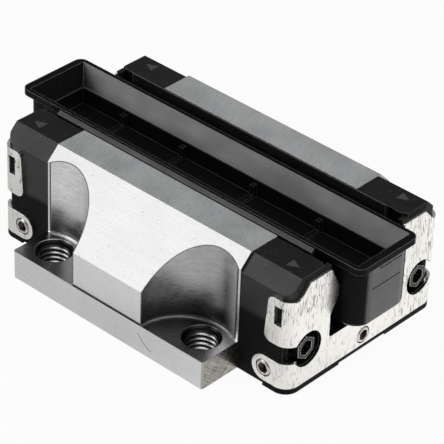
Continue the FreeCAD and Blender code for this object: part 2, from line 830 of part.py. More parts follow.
def end_plate(label, turned):
    """Bent stainless plate: front, two wings with slots, two round tabs with ports, rail opening."""
    body = new_body(label)
    plan = add_sketch(body, "XY_Plane", d.plate_bottom)
    polygon(plan, [
        (wing_back, -wing_face),
        (plate_face, -wing_face),
        (plate_face, wing_face),
        (wing_back, wing_face),
        (wing_back, cap_side),
        (cap_front, cap_side),
        (cap_front, -cap_side),
        (wing_back, -cap_side),
    ])
    sheet = extrude(body, "Pad", plan, plate_top - d.plate_bottom)
    upright = Vector(0, 0, 1)
    outside = edges_at(sheet, upright, [(plate_face, wing_face, 0), (plate_face, -wing_face, 0)])
    bent = soften(body, "Fillet", sheet, outside, d.plate_bend)
    inside = edges_at(bent, upright, [(cap_front, cap_side, 0), (cap_front, -cap_side, 0)])
    soften(body, "Fillet", bent, inside, d.plate_bend - d.plate_thickness)

    # slanted shoulders, down to the wings' top
    slant = d.plate_slant_width / 2
    for sy in (-1.0, 1.0):
        shoulder = add_sketch(body, "YZ_Plane")
        polygon(shoulder, [
            (d.plate_top_width * (sy / 2), plate_top),
            (slant * sy, plate_top - d.plate_slant_drop),
            ((slant + d.wing_corner / 2) * sy, wing_top),
            (wing_face * sy, wing_top),
            (wing_face * sy, plate_top),
        ])
        extrude(body, "Pocket", shoulder, plate_face, reverse=True)

    # leaning back edge of the wings
    edge = add_sketch(body, "XZ_Plane")
    polygon(edge, [
        (wing_back, wing_bottom),
        (wing_back + d.wing_lean, wing_top),
        (wing_back, wing_top),
    ])
    cut = extrude(body, "Pocket", edge, wing_face * 2, both=True)
    across = Vector(0, 1, 0)
    top_corner = edges_at(cut, across, [(wing_back + d.wing_lean, 0.0, wing_top)])
    soften(body, "Fillet", cut, top_corner, d.wing_corner)
    box(
        body,
        "Subtractive",
        (wing_back, -wing_face, d.plate_bottom),
        (port_along, wing_face, wing_bottom),
    )

    for sy in (-1.0, 1.0):
        screw = d.screw_pitch * (sy / 2)
        mouth = (port_along, wing_face * sy, port_height)
        tab = d.tab_top - port_height
        rod(body, "Additive", mouth, (0, -sy, 0), tab, d.plate_thickness)
        rod(body, "Subtractive", mouth, (0, -sy, 0), d.port_diameter / 2, d.plate_thickness)
        spot = (cap_front, screw, screw_height)
        rod(body, "Subtractive", spot, (1, 0, 0), d.plate_screw_opening / 2, d.plate_thickness)
        inner, outer = (screw, wing_face) if sy > 0 else (-wing_face, screw)
        box(body, "Subtractive", (wing_back, inner, d.tab_top), (plate_face, outer, wing_bottom))
        root = cap_side - d.plate_bend
        inner, outer = (root, wing_face) if sy > 0 else (-wing_face, -root)
        box(body, "Subtractive", (slot_left, inner, slot_bottom), (slot_right, outer, slot_top))
    port = (cap_front, 0.0, d.front_port_height)
    drilled = rod(body, "Subtractive", port, (1, 0, 0), d.port_diameter / 2, d.plate_thickness)
    low_corner = edges_at(drilled, across, [(wing_back, 0.0, wing_bottom)])
    soften(body, "Fillet", drilled, low_corner, d.wing_low_corner)

    opening = add_sketch(body, "YZ_Plane", cap_front)
    polygon(opening, rail_gap(d.plate_play, plate_opening_floor, plate_top))
    pierced = extrude(body, "Pocket", opening, d.plate_thickness, reverse=True)
    wide = d.rail_width / 2 + d.plate_play
    narrow = d.rail_waist / 2 + d.plate_play
    along = Vector(1, 0, 0)
    waist = [(narrow, waist_bottom), (narrow, waist_top)]
    others = [(wide, plate_opening_floor), (wide, head_shoulder), (wide, plate_top)]
    cut = pierced
    for spots, radius in ((waist, d.plate_waist_round), (others, d.wing_corner / 2)):
        places = [(0.0, side * a.number, b) for side in (-1, 1) for a, b in spots]
        cut = soften(body, "Fillet", cut, edges_at(cut, along, places), radius)
    finish(body, turned)


def end_seal(label, turned):
    """Wiper around the rail, let into the cap's front behind the plate."""
    body = new_body(label)
    half = d.end_seal_width / 2
    outline = add_sketch(body, "YZ_Plane", cap_front - d.end_seal_thickness)
    rectangle(outline, (-half, end_seal_bottom), (half, end_seal_top))
    extrude(body, "Pad", outline, d.end_seal_thickness)
    opening = add_sketch(body, "YZ_Plane", cap_front - d.end_seal_thickness)
    polygon(opening, rail_gap(d.end_seal_play, cap_opening_floor, end_seal_top))
    extrude(body, "Pocket", opening, d.end_seal_thickness, reverse=True)
    finish(body, turned)


def distributor(label, turned):
    """Bar that shares lubricant from the ports between the ball circuits."""
    body = new_body(label)
    half = d.distributor_width / 2
    outline = add_sketch(body, "YZ_Plane", block_end)
    rectangle(outline, (-half, d.distributor_bottom), (half, d.distributor_top))
    circle(outline, 0.0, d.front_port_height, d.port_channel / 2)
    extrude(body, "Pad", outline, d.distributor_thickness)
    finish(body, turned)


def hexagon(sketch, across_flats):
    """A hexagon around the sketch's origin, with two corners on its horizontal axis."""
    reach = across_flats / math.sqrt(3)
    polygon(sketch, [
        (reach * math.cos(math.radians(60 * i)), reach * math.sin(math.radians(60 * i)))
        for i in range(6)
    ])


def collar_screw(label, place):
    """Collar screw with a socketed hexagon head, built on its own axis with its seat at zero."""
    body = new_body(label)
    profile = add_sketch(body, "XZ_Plane")
    shank = d.screw_thread / 2
    reach = cap_front - d.counterbore_depth - block_end + d.screw_reach
    head_end = d.screw_collar_height + d.screw_head_height
    polygon(profile, [
        (0.0, -reach),
        (shank, -reach),
        (shank, 0.0),
        (d.screw_collar / 2, 0.0),
        (d.screw_collar / 2, d.screw_collar_height),
        (0.0, d.screw_collar_height),
    ])
    turned = body.newObject("PartDesign::Revolution", "Turned")
    turned.Profile = profile
    turned.ReferenceAxis = (profile, ["V_Axis"])
    head = add_sketch(body, "XY_Plane", d.screw_collar_height)
    hexagon(head, d.screw_head)
    extrude(body, "Pad", head, d.screw_head_height)
    socket = add_sketch(body, "XY_Plane", head_end)
    hexagon(socket, d.screw_socket)
    extrude(body, "Pocket", socket, d.screw_socket_depth)
    body.Placement = place
    return body


def port_screw(label, place):
    """Socket set screw that closes a lubrication port, with its outer face at zero."""
    body = new_body(label)
    profile = add_sketch(body, "XZ_Plane")
    radius = d.port_diameter / 2 - d.port_screw_play
    polygon(profile, [
        (0.0, -d.port_screw_length),
        (radius, -d.port_screw_length),
        (radius, -d.port_screw_bevel),
        (radius - d.port_screw_bevel, 0.0),
        (0.0, 0.0),
    ])
    turned = body.newObject("PartDesign::Revolution", "Turned")
    turned.Profile = profile
    turned.ReferenceAxis = (profile, ["V_Axis"])
    socket = add_sketch(body, "XY_Plane")
    hexagon(socket, d.port_socket)
    extrude(body, "Pocket", socket, d.port_socket_depth)
    body.Placement = place
    return body


def group(label, members):
    """One node that holds several separate, identical fasteners."""
    whole = doc.addObject("Part::Compound", label)
    whole.Label = label
    whole.Links = members
    finish(whole)


def fasteners(end, turned):
    """Collar screws and port screws of one end."""
    sign = -1 if turned else 1
    out = Rotation(Vector(0, 0, 1), Vector(sign, 0, 0))
    seat = sign * (cap_front.number - d.counterbore_depth.number)
    screws = []
    for side in (-1, 1):
        spot = Vector(seat, side * d.screw_pitch.number / 2, screw_height.number)
        screws.append(collar_screw(f"collar_screw_{end}_{len(screws)}", Placement(spot, out)))
    group(f"collar_screws_{end}", screws)

    proud = d.port_screw_proud.number
    face = Vector(sign * (plate_face.number + proud), 0, d.front_port_height.number)
    finish(port_screw(f"front_port_screw_{end}", Placement(face, out)))
    plugs = []
    for side in (-1, 1):
        face_at = side * (wing_face.number + proud)
        spot = Vector(sign * port_along.number, face_at, port_height.number)
        turn = Rotation(Vector(0, 0, 1), Vector(0, side, 0))
        plugs.append(port_screw(f"side_port_screw_{end}_{len(plugs)}", Placement(spot, turn)))
    group(f"side_port_screws_{end}", plugs)


def assembly_arbor():
    """Moulded tray that keeps the rail's place: round end corners, rim, slanted tray and notched ribs."""
    body = new_body("assembly_arbor")
    half = d.rail_waist / 2 - d.arbor_play
    left = d.arbor_shift - d.arbor_length / 2
    right = d.arbor_shift + d.arbor_length / 2
    body_left = left + d.rim_overhang
    body_right = right - d.rim_overhang
    rim_half = d.rim_width / 2
    rim_top = d.steel_height - d.rim_step_down
    rim_bottom = rim_top - d.rim_depth
    tray_ledge = rim_top - d.tray_depth
    upright = Vector(0, 0, 1)

    plan = add_sketch(body, "XY_Plane", rail_head)
    rectangle(plan, (body_left, -half), (body_right, half))
    block = extrude(body, "Pad", plan, rim_bottom - rail_head)
    corners = [(x, y, 0.0) for x in (body_left, body_right) for y in (-half, half)]
    eased = soften(body, "Fillet", block, edges_at(block, upright, corners), d.arbor_end_corner)
    doc.recompute()
    foot = [
        f"Edge{number}"
        for number, edge in enumerate(eased.Shape.Edges, start=1)
        if edge.BoundBox.ZMax < rail_head.number + 0.01
    ]
    soften(body, "Fillet", eased, foot, d.arbor_foot_round)

    lip = add_sketch(body, "XY_Plane", rim_bottom)
    rectangle(lip, (left, -rim_half), (right, rim_half))
    rim = extrude(body, "Pad", lip, d.rim_depth)
    corners = [(x, y, 0.0) for x in (left, right) for y in (-rim_half, rim_half)]
    rounded = soften(body, "Fillet", rim, edges_at(rim, upright, corners), d.rim_corner)
    under = edges_at(rounded, Vector(1, 0, 0), [(0.0, y, rim_bottom) for y in (-rim_half, rim_half)])
    soften(body, "Chamfer", rounded, under, d.rim_under_chamfer)

    mouth = add_sketch(body, "XY_Plane", rim_top)
    mouth_half = d.tray_mouth_width / 2
    rectangle(mouth, (left + d.tray_end_wall, -mouth_half), (right - d.tray_end_wall, mouth_half))
    ledge = add_sketch(body, "XY_Plane", tray_ledge)
    ledge_half = d.tray_ledge_width / 2
    wall = d.tray_end_wall + d.tray_end_draft
    rectangle(ledge, (left + wall, -ledge_half), (right - wall, ledge_half))
    tray = body.newObject("PartDesign::SubtractiveLoft", "Tray")
    tray.Profile = mouth
    tray.Sections = [ledge]
    tray.Ruled = True

    pocket = add_sketch(body, "XY_Plane", tray_ledge)
    pocket_half = d.pocket_width / 2
    inset = wall + d.pocket_inset
    rectangle(pocket, (left + inset, -pocket_half), (right - inset, pocket_half))
    extrude(body, "Pocket", pocket, d.pocket_depth)

    pocket_floor = tray_ledge - d.pocket_depth
    rib_top = tray_ledge - d.rib_step_down
    notch_half = d.rib_notch_width / 2
    for place in (d.first_rib, d.second_rib, d.third_rib, d.fourth_rib):
        rib = add_sketch(body, "YZ_Plane", left + place)
        outline = [
            (pocket_half, pocket_floor),
            (pocket_half, rib_top),
            (notch_half, rib_top),
            (notch_half, pocket_floor + d.rib_notch_rise),
        ]
        polygon(rib, mirrored(outline))
        extrude(body, "Pad", rib, d.rib_thickness, reverse=True)

    # fine moulded lines on the right end face
    flat = half - d.arbor_end_corner
    depth = body_right - d.line_depth
    parting_line = rim_top - d.parting_line_depth
    panel_line = rim_top - d.panel_line_depth
    box(
        body,
        "Subtractive",
        (depth, -flat, parting_line),
        (body_right, flat, parting_line + d.line_width),
    )
    box(
        body,
        "Subtractive",
        (depth, -d.panel_side / 2, panel_line),
        (body_right, flat, panel_line + d.line_width),
    )
    box(
        body,
        "Subtractive",
        (depth, -d.panel_side / 2, panel_line),
        (body_right, d.line_width - d.panel_side / 2, rim_bottom),
    )
    finish(body)


def export():
    """Check every object and every piece, then write one file for each node."""
    doc.recompute()
    for item in doc.Objects:
        faults = [word for word in item.State if word in ("Invalid", "Error")]
        if faults:
            raise RuntimeError(f"{item.Label} failed: {faults}")
    os.makedirs("parts", exist_ok=True)
    for node in nodes:
        shape = node.Shape
        if shape.isNull() or not shape.isValid() or not shape.Solids:
            raise RuntimeError(f"{node.Label} has no valid solid")
        shape.exportStep(f"parts/{node.Label}.step")
        bounds = shape.BoundBox
        low = [round(value, 2) for value in (bounds.XMin, bounds.YMin, bounds.ZMin)]
        high = [round(value, 2) for value in (bounds.XMax, bounds.YMax, bounds.ZMax)]
        print(f"{node.Label}: {len(shape.Solids)} solids, {shape.Volume:.1f} mm3, {low} to {high}")


def build():
    runner_block()
    load_plates()
    ball_circuits()
    ball_guides()
    side_seals()
    turn_guides()
    for end, turned in ENDS.items():
        end_cap(f"end_cap_{end}", turned)
        end_seal(f"end_seal_{end}", turned)
        end_plate(f"end_plate_{end}", turned)
        distributor(f"lube_distributor_{end}", turned)
        fasteners(end, turned)
    assembly_arbor()
    export()


build()
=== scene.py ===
# %% [markdown]
# # A linear guide carriage on its assembly arbor
#
# The object is the steel carriage of a linear guide, lying on its mounting face. Two black end caps with
# bent stainless plates close its ends, and a black plastic tray, the arbor, fills the channel until the
# carriage is pushed onto its rail. The solid shapes come from the CAD frame. This lesson adds the threads
# that the solids leave out, gives every piece a material, and lights and frames the scene.

import math
from types import SimpleNamespace

import bmesh
import bpy
from mathutils import Matrix, Vector


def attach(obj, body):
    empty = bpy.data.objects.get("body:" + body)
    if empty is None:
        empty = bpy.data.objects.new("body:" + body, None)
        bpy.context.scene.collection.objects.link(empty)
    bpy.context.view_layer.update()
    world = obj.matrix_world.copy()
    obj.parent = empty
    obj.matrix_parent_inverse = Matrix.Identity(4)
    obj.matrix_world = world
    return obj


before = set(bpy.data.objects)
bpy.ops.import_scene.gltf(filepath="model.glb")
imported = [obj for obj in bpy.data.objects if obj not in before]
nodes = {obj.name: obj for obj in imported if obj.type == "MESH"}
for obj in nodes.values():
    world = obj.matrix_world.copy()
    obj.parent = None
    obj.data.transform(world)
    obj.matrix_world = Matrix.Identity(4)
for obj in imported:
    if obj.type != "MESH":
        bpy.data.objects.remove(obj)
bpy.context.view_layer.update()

# %% [markdown]
# ## The camera
#
# The photograph was taken with a long lens from the front right, a little above the carriage. The camera
# was solved from the corners of the steel block, whose sizes are known, so it is placed by numbers: a turn
# about the upright axis, a tilt above the horizon and a small roll of the camera itself.

# %% Place the camera
# Three angles, the camera's place in metres and its focal length in millimetres.
AZIMUTH = math.radians(41.46)
ELEVATION = math.radians(34.35)
ROLL = math.radians(2.41)
STAND = (0.3187, -0.3588, 0.3402)
FOCAL_LENGTH = 210.93

lens = bpy.data.cameras.new("product_lens")
lens.sensor_width = 36.0
lens.lens = FOCAL_LENGTH
lens.clip_start = 0.01
lens.clip_end = 20.0
camera = bpy.data.objects.new("product_camera", lens)
bpy.context.collection.objects.link(camera)
turn = Matrix.Rotation(AZIMUTH, 4, "Z")
tilt = Matrix.Rotation(math.pi / 2 - ELEVATION, 4, "X")
roll = Matrix.Rotation(ROLL, 4, "Z")
camera.matrix_world = Matrix.Translation(STAND) @ turn @ tilt @ roll
bpy.context.scene.camera = camera
print("camera stands", round(camera.location.length, 3), "m from the carriage")

# %% [markdown]
# ## Tapped holes
#
# The four flange holes are cut with an M8 thread, and so are two blind ones in the middle of the mounting
# face. In the solids they are plain bores. A thread could be drawn as a bump, but the photograph looks into
# the holes and shows the ridges one by one, so they are real: a small triangle with a flat crest is spun
# about the hole's axis while it climbs one pitch for each turn. Its back edge lies just inside the steel,
# which hides the seam between ridge and wall. Sizes are written in millimetres, and Blender counts in metres.

# %% Measure the tapped holes
# Radii and pitch of the thread, and where the holes lie from the middle of the block, in millimetres.
MM = 0.001
BORE = 4.0
ROOT = BORE + 0.06
CREST = 3.42
PITCH = 1.25
HOLE_ALONG = 22.5
HOLE_ACROSS = 28.5
MIDDLE_ACROSS = 20.0
THREAD_LOW = 0.3
FLANGE_THREAD_HIGH = 6.8
MIDDLE_THREAD_HIGH = 8.9
# The ridge's section, as radii in millimetres and heights in pitches, and the turn that it takes up itself.
SECTION = ((ROOT, 0.08), (CREST, 0.5), (CREST, 0.66), (ROOT, 1.08))
SECTION_TURN = 1.1
STEPS_PER_TURN = 40
# A direction along which no two places of a ridge are level. It puts vertices and faces in one fixed order.
ORDER = Vector((0.1, 0.2, 1.0))


def metres(*sizes):
    """Sizes in millimetres as metres."""
    return [size * MM for size in sizes]


print("thread of radius", BORE, "mm and pitch", PITCH, "mm")

# %% Wind the thread ridges


def thread_ridge(name, x, y, low, high):
    """A helical ridge on a bore's wall between two heights, in millimetres."""
    mesh = bmesh.new()
    ring = []
    for reach, rise in SECTION:
        ring.append(mesh.verts.new(metres(x + reach, y, low + rise * PITCH)))
    edges = [mesh.edges.new(pair) for pair in zip(ring, ring[1:] + ring[:1])]
    turns = (high - low) / PITCH - SECTION_TURN
    steps = int(turns * STEPS_PER_TURN)
    bmesh.ops.spin(
        mesh,
        geom=ring + edges,
        cent=metres(x, y, 0),
        axis=(0, 0, 1),
        dvec=(0, 0, PITCH * MM / STEPS_PER_TURN),
        angle=steps / STEPS_PER_TURN * 2 * math.pi,
        steps=steps,
    )
    bmesh.ops.holes_fill(mesh, edges=[edge for edge in mesh.edges if edge.is_boundary])
    bmesh.ops.recalc_face_normals(mesh, faces=mesh.faces)
    # The operators list vertices and faces in an order that changes from run to run, so both are sorted.
    mesh.verts.sort(key=lambda vert: vert.co.dot(ORDER))
    mesh.faces.sort(key=lambda face: face.calc_center_median().dot(ORDER))
    data = bpy.data.meshes.new(name)
    mesh.to_mesh(data)
    mesh.free()
    ridge = bpy.data.objects.new(name, data)
    bpy.context.collection.objects.link(ridge)
    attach(ridge, "carriage")
    return ridge


ridges = []
for number, (side, face) in enumerate(((1, -1), (-1, -1), (1, 1), (-1, 1)), start=1):
    x = side * HOLE_ALONG
    y = face * HOLE_ACROSS
    ridges.append(thread_ridge(f"flange_thread_{number}", x, y, THREAD_LOW, FLANGE_THREAD_HIGH))
for number, face in enumerate((-1, 1), start=1):
    y = face * MIDDLE_ACROSS
    ridges.append(thread_ridge(f"middle_thread_{number}", 0.0, y, THREAD_LOW, MIDDLE_THREAD_HIGH))
print("threads:", len(ridges), "with", sum(len(ridge.data.polygons) for ridge in ridges), "faces")

# %% [markdown]
# ## Helpers for materials
#
# Colours are written as they look on a screen, and Blender wants them linear, so one function converts
# them. Another adds a node, sets its values and links its inputs, which keeps each material short. Patterns
# are given by their real sizes: a Mapping node of the Texture kind turns the coordinates and then divides
# them by its scale, so its scale is the size of one mark. Every material also starts with edges rounded by
# the Bevel node, because no real edge is quite sharp.

# %% Add and link nodes


def linear(code):
    """A screen colour such as 8C8C8C as linear red, green, blue and alpha."""
    screen = [int(code[start:start + 2], 16) / 255 for start in (0, 2, 4)]
    return [part / 12.92 if part <= 0.04045 else ((part + 0.055) / 1.055) ** 2.4 for part in screen] + [1.0]


def wire(tree, node, **inputs):
    """Link an input that is given as a node or a socket, and set any other as a value."""
    for key, value in inputs.items():
        name = key.replace("_", " ")
        sockets = [socket for socket in node.inputs if socket.enabled and socket.name == name]
        socket = sockets[0] if sockets else node.inputs[int(key[1:])]
        if isinstance(value, bpy.types.Node):
            value = next(output for output in value.outputs if output.enabled)
        if isinstance(value, bpy.types.NodeSocket):
            tree.links.new(value, socket)
        else:
            socket.default_value = value


def add(tree, kind, settings=None, **inputs):
    """Add a node with its settings and wire its inputs. Inputs without a name of their own are n0, n1."""
    node = tree.nodes.new(kind)
    for key, value in (settings or {}).items():
        setattr(node, key, value)
    wire(tree, node, **inputs)
    return node


print("nodes can be added and linked")

# %% Start a material
SPREAD = {"vector_type": "TEXTURE"}


def finish(name, code, metallic, roughness, edge):
    """A new material, its tree, its shader, its coordinates, and edges rounded by a radius in mm."""
    material = bpy.data.materials.new(name)
    material.use_nodes = True
    tree = material.node_tree
    shader = tree.nodes["Principled BSDF"]
    place = add(tree, "ShaderNodeTexCoord").outputs["Object"]
    rounded = add(tree, "ShaderNodeBevel", {"samples": 6}, Radius=edge * MM)
    wire(tree, shader, Base_Color=linear(code), Metallic=metallic, Roughness=roughness, Normal=rounded)
    return material, tree, shader, place, rounded


def edge_mask(tree, rounded):
    """1 along the edges, where the rounded normal departs from the true one."""
    true = add(tree, "ShaderNodeNewGeometry").outputs["Normal"]
    # The cosine of the angle between the two: an edge begins at 10 degrees and is full at 22.
    match = add(tree, "ShaderNodeVectorMath", {"operation": "DOT_PRODUCT"}, n0=true, n1=rounded)
    return add(
        tree,
        "ShaderNodeMapRange",
        Value=match.outputs["Value"],
        From_Min=0.985,
        From_Max=0.93,
        To_Min=0,
        To_Max=1,
    )


def dress(piece, material):
    """Give a piece one material."""
    piece.data.materials.clear()
    piece.data.materials.append(material)


print("materials can be started")

# %% [markdown]
# ## Ground steel
#
# The block is hardened bearing steel, and each kind of face shows how it was cut. Flanks and slanted
# shoulders are milled lengthwise, the top strips are ground aslant, the ends are milled in crossing
# strokes, the scallops carry the level marks of an end mill and the seats below them its rings. The
# scallops are cut before hardening and never ground, and their lower part is painted darker, as shade.
# Separate materials for the faces would need the mesh to be split, so one metal does it all, and masks made
# from the direction and the place of the surface pick what is drawn where.

# %% Choose the faces of the block
# Half the flange's width, its thickness and the radius of the scallops, in millimetres. The scallops' centres
# lie over the flange's sides, in line with the holes.
FLANGE_SIDE = 35.0
FLANGE_TOP = 7.1
SCALLOP = 12.1


def bolt_distance(tree, place):
    """Distance from the axis of the nearest tapped hole."""
    quarter = add(tree, "ShaderNodeVectorMath", {"operation": "ABSOLUTE"}, n0=place)
    reaches = []
    for axis in ((HOLE_ALONG, HOLE_ACROSS, 0), (0, MIDDLE_ACROSS, 0)):
        away = add(tree, "ShaderNodeVectorMath", {"operation": "SUBTRACT"}, n0=quarter, n1=metres(*axis))
        flat = add(tree, "ShaderNodeVectorMath", {"operation": "MULTIPLY"}, n0=away, n1=(1, 1, 0))
        reaches.append(add(tree, "ShaderNodeVectorMath", {"operation": "LENGTH"}, n0=flat).outputs["Value"])
    return add(tree, "ShaderNodeMath", {"operation": "MINIMUM"}, n0=reaches[0], n1=reaches[1])


def block_masks(tree, place):
    """Masks for the block's faces, the distance from a scallop's centre, the height and the half width."""
    facing = add(tree, "ShaderNodeTexCoord").outputs["Normal"]
    size = add(tree, "ShaderNodeVectorMath", {"operation": "ABSOLUTE"}, n0=facing)
    parts = add(tree, "ShaderNodeSeparateXYZ", Vector=size).outputs
    # A mask fades in as a face turns to its axis, from 22 to 8 degrees away from it, given as cosines.
    limits = {"To_Min": 0.0, "To_Max": 1.0}
    tops = add(tree, "ShaderNodeMapRange", Value=parts["Z"], From_Min=0.93, From_Max=0.99, **limits)
    ends = add(tree, "ShaderNodeMapRange", Value=parts["X"], From_Min=0.93, From_Max=0.99, **limits)
    flanks = add(tree, "ShaderNodeMapRange", Value=parts["Y"], From_Min=0.93, From_Max=0.99, **limits)
    quarter = add(tree, "ShaderNodeVectorMath", {"operation": "ABSOLUTE"}, n0=place)
    centre = metres(HOLE_ALONG, FLANGE_SIDE, 0)
    centred = add(tree, "ShaderNodeVectorMath", {"operation": "SUBTRACT"}, n0=quarter, n1=centre)
    flat = add(tree, "ShaderNodeVectorMath", {"operation": "MULTIPLY"}, n0=centred, n1=(1, 1, 0))
    radius = add(tree, "ShaderNodeVectorMath", {"operation": "LENGTH"}, n0=flat).outputs["Value"]
    height = add(tree, "ShaderNodeSeparateXYZ", Vector=place).outputs["Z"]
    across = add(tree, "ShaderNodeSeparateXYZ", Vector=quarter).outputs["Y"]
    # A tenth of a millimetre more takes in the walls and the seats themselves.
    inside = add(tree, "ShaderNodeMath", {"operation": "LESS_THAN"}, n0=radius, n1=(SCALLOP + 0.1) * MM)
    seat = (FLANGE_TOP - 0.1) * MM
    above = add(tree, "ShaderNodeMath", {"operation": "GREATER_THAN"}, n0=height, n1=seat)
    scallops = add(tree, "ShaderNodeMath", {"operation": "MULTIPLY"}, n0=inside, n1=above)
    seats = add(tree, "ShaderNodeMath", {"operation": "MULTIPLY"}, n0=scallops, n1=tops)
    # The bores' mask takes in the chamfers at their mouths.
    axis = bolt_distance(tree, place)
    within = add(tree, "ShaderNodeMath", {"operation": "LESS_THAN"}, n0=axis, n1=(BORE + 0.8) * MM)
    below = add(tree, "ShaderNodeMath", {"operation": "LESS_THAN"}, n0=height, n1=seat)
    bores = add(tree, "ShaderNodeMath", {"operation": "MULTIPLY"}, n0=within, n1=below)
    return SimpleNamespace(
        tops=tops,
        ends=ends,
        flanks=flanks,
        scallops=scallops,
        seats=seats,
        bores=bores,
        radius=radius,
        height=height,
        across=across,
    )


print("block masks ready")

# %% [markdown]
# ## Cutting lines
#
# A cutter leaves fine lines along its path, and they give cut steel its direction. A noise that is stretched
# along the path draws them, one for each way of cutting. The real lines are a few hundredths of a millimetre
# apart and are drawn about five times as coarse here, so that they show. The lines tint the metal a little
# too, from dark to light, as painted shade, because in a picture of this size their shading alone would be
# lost. Each kind of face gets its own pair of tones, partly for its cut and partly as painted light and
# shade for the way the face is turned.

# %% Draw the cutting lines


def cutting_lines(tree, place, faces):
    """One grey pattern: lengthwise lines, and other lines where a mask asks for them."""
    lines = []
    # Size of one mark in millimetres, and its turn about the upright axis.
    for size, angle in (((26.0, 0.25, 0.25), 0), ((0.22, 5.0, 5.0), 26), ((2.0, 2.0, 0.25), 0)):
        turn = (0, 0, math.radians(angle))
        spread = add(tree, "ShaderNodeMapping", SPREAD, Vector=place, Rotation=turn, Scale=metres(*size))
        lines.append(add(tree, "ShaderNodeTexNoise", Vector=spread, Scale=1.0, Detail=4.0, Roughness=0.6))
    lengthwise, aslant, level = lines
    # Rings 0.3 mm wide lie round the scallop's centre.
    step = add(tree, "ShaderNodeMath", {"operation": "DIVIDE"}, n0=faces.radius, n1=0.3 * MM)
    rings = add(tree, "ShaderNodeTexNoise", {"noise_dimensions": "1D"}, W=step, Scale=1.0, Detail=3.0)
    # Two sets of strokes, tilted either way, cross each other.
    strokes = []
    for angle in (40, -40):
        tilt = (math.radians(angle), 0, 0)
        turned = add(
            tree, "ShaderNodeMapping", SPREAD, Vector=place, Rotation=tilt, Scale=metres(5.0, 6.0, 0.25)
        )
        strokes.append(add(tree, "ShaderNodeTexNoise", Vector=turned, Scale=1.0, Detail=3.0))
    crossing = add(tree, "ShaderNodeMath", {"operation": "MAXIMUM"}, n0=strokes[0], n1=strokes[1])
    drawn = lengthwise
    for mask, kind in (
        (faces.tops, aslant),
        (faces.ends, crossing),
        (faces.scallops, level),
        (faces.seats, rings),
    ):
        drawn = add(tree, "ShaderNodeMix", {"data_type": "FLOAT"}, Factor=mask, A=drawn, B=kind)
    return drawn


print("cutting lines ready")

# %% Colour the lines


def lines_and_painted_light_tone(tree, lines, faces):
    """Colour of the lines, a dark and a light tone for each kind of face, partly painted light and shade."""
    streak = add(tree, "ShaderNodeMapRange", Value=lines, From_Min=0.3, From_Max=0.7, To_Min=0, To_Max=1)
    tone = None
    # The first pair is for the slanted shoulders.
    for mask, dark, light in (
        (None, "B8B8B9", "BDBDBE"),
        (faces.flanks, "E6E6E6", "F4F4F4"),
        (faces.tops, "DAE1E4", "FFFFFF"),
        (faces.ends, "3F3B37", "CFC9C0"),
        (faces.scallops, "CCCCCC", "FFFFFE"),
    ):
        pair = add(
            tree, "ShaderNodeMix", {"data_type": "RGBA"}, Factor=streak, A=linear(dark), B=linear(light)
        )
        if mask:
            pair = add(tree, "ShaderNodeMix", {"data_type": "RGBA"}, Factor=mask, A=tone, B=pair)
        tone = pair
    return tone


print("tones of the lines ready")

# %% [markdown]
# ## Painted shade and wear on the block
#
# The foot of the scallops and their seats are painted darker, as shade, with a share of a dark colour, and so
# are a thin line round each scallop, the narrow ledge on the flange and the bores. Knocks and fingers leave
# their marks as well, and each mark is one more share, between 0 and 1, with a colour of its own.

# %% Paint the shade in the scallops


def scallop_shade_share(tree, along, faces):
    """Share of painted shade on the walls of the scallops and on their seats."""
    # There is most at the foot, and 10 mm above it there is none.
    foot = add(
        tree,
        "ShaderNodeMapRange",
        {"interpolation_type": "SMOOTHSTEP"},
        Value=faces.height,
        From_Min=7.5 * MM,
        From_Max=17.5 * MM,
        To_Min=0.88,
        To_Max=0.0,
    )
    # The right-hand scallops are shaded thinly all over, the left-hand ones less at the foot, the seats
    # fully.
    side = add(
        tree, "ShaderNodeMapRange", Value=along, From_Min=-5 * MM, From_Max=5 * MM, To_Min=0.45, To_Max=1.0
    )
    film_and_shade = add(
        tree, "ShaderNodeMapRange", Value=along, From_Min=-5 * MM, From_Max=5 * MM, To_Min=0.0, To_Max=0.42
    )
    fuller_shade = add(tree, "ShaderNodeMath", {"operation": "MAXIMUM"}, n0=side, n1=faces.seats)
    foot_shade = add(tree, "ShaderNodeMath", {"operation": "MULTIPLY"}, n0=foot, n1=fuller_shade)
    scallop_shade = add(tree, "ShaderNodeMath", {"operation": "MAXIMUM"}, n0=foot_shade, n1=film_and_shade)
    # Towards the right-hand end the painted shade fades to three tenths.
    right_end_fade = add(
        tree, "ShaderNodeMapRange", Value=along, From_Min=23 * MM, From_Max=30 * MM, To_Min=1.0, To_Max=0.3
    )
    kept_shade = add(tree, "ShaderNodeMath", {"operation": "MULTIPLY"}, n0=scallop_shade, n1=right_end_fade)
    return add(tree, "ShaderNodeMath", {"operation": "MULTIPLY"}, n0=faces.scallops, n1=kept_shade)


def torn_share(tree, along, faces):
    """Share of torn wall: at the right-hand end the mill has left the scallops' walls rough."""
    walls = add(tree, "ShaderNodeMath", {"operation": "SUBTRACT"}, n0=faces.scallops, n1=faces.seats)
    right = add(
        tree, "ShaderNodeMapRange", Value=along, From_Min=24 * MM, From_Max=27 * MM, To_Min=0, To_Max=1
    )
    return add(tree, "ShaderNodeMath", {"operation": "MULTIPLY"}, n0=walls, n1=right)


print("oil ready")
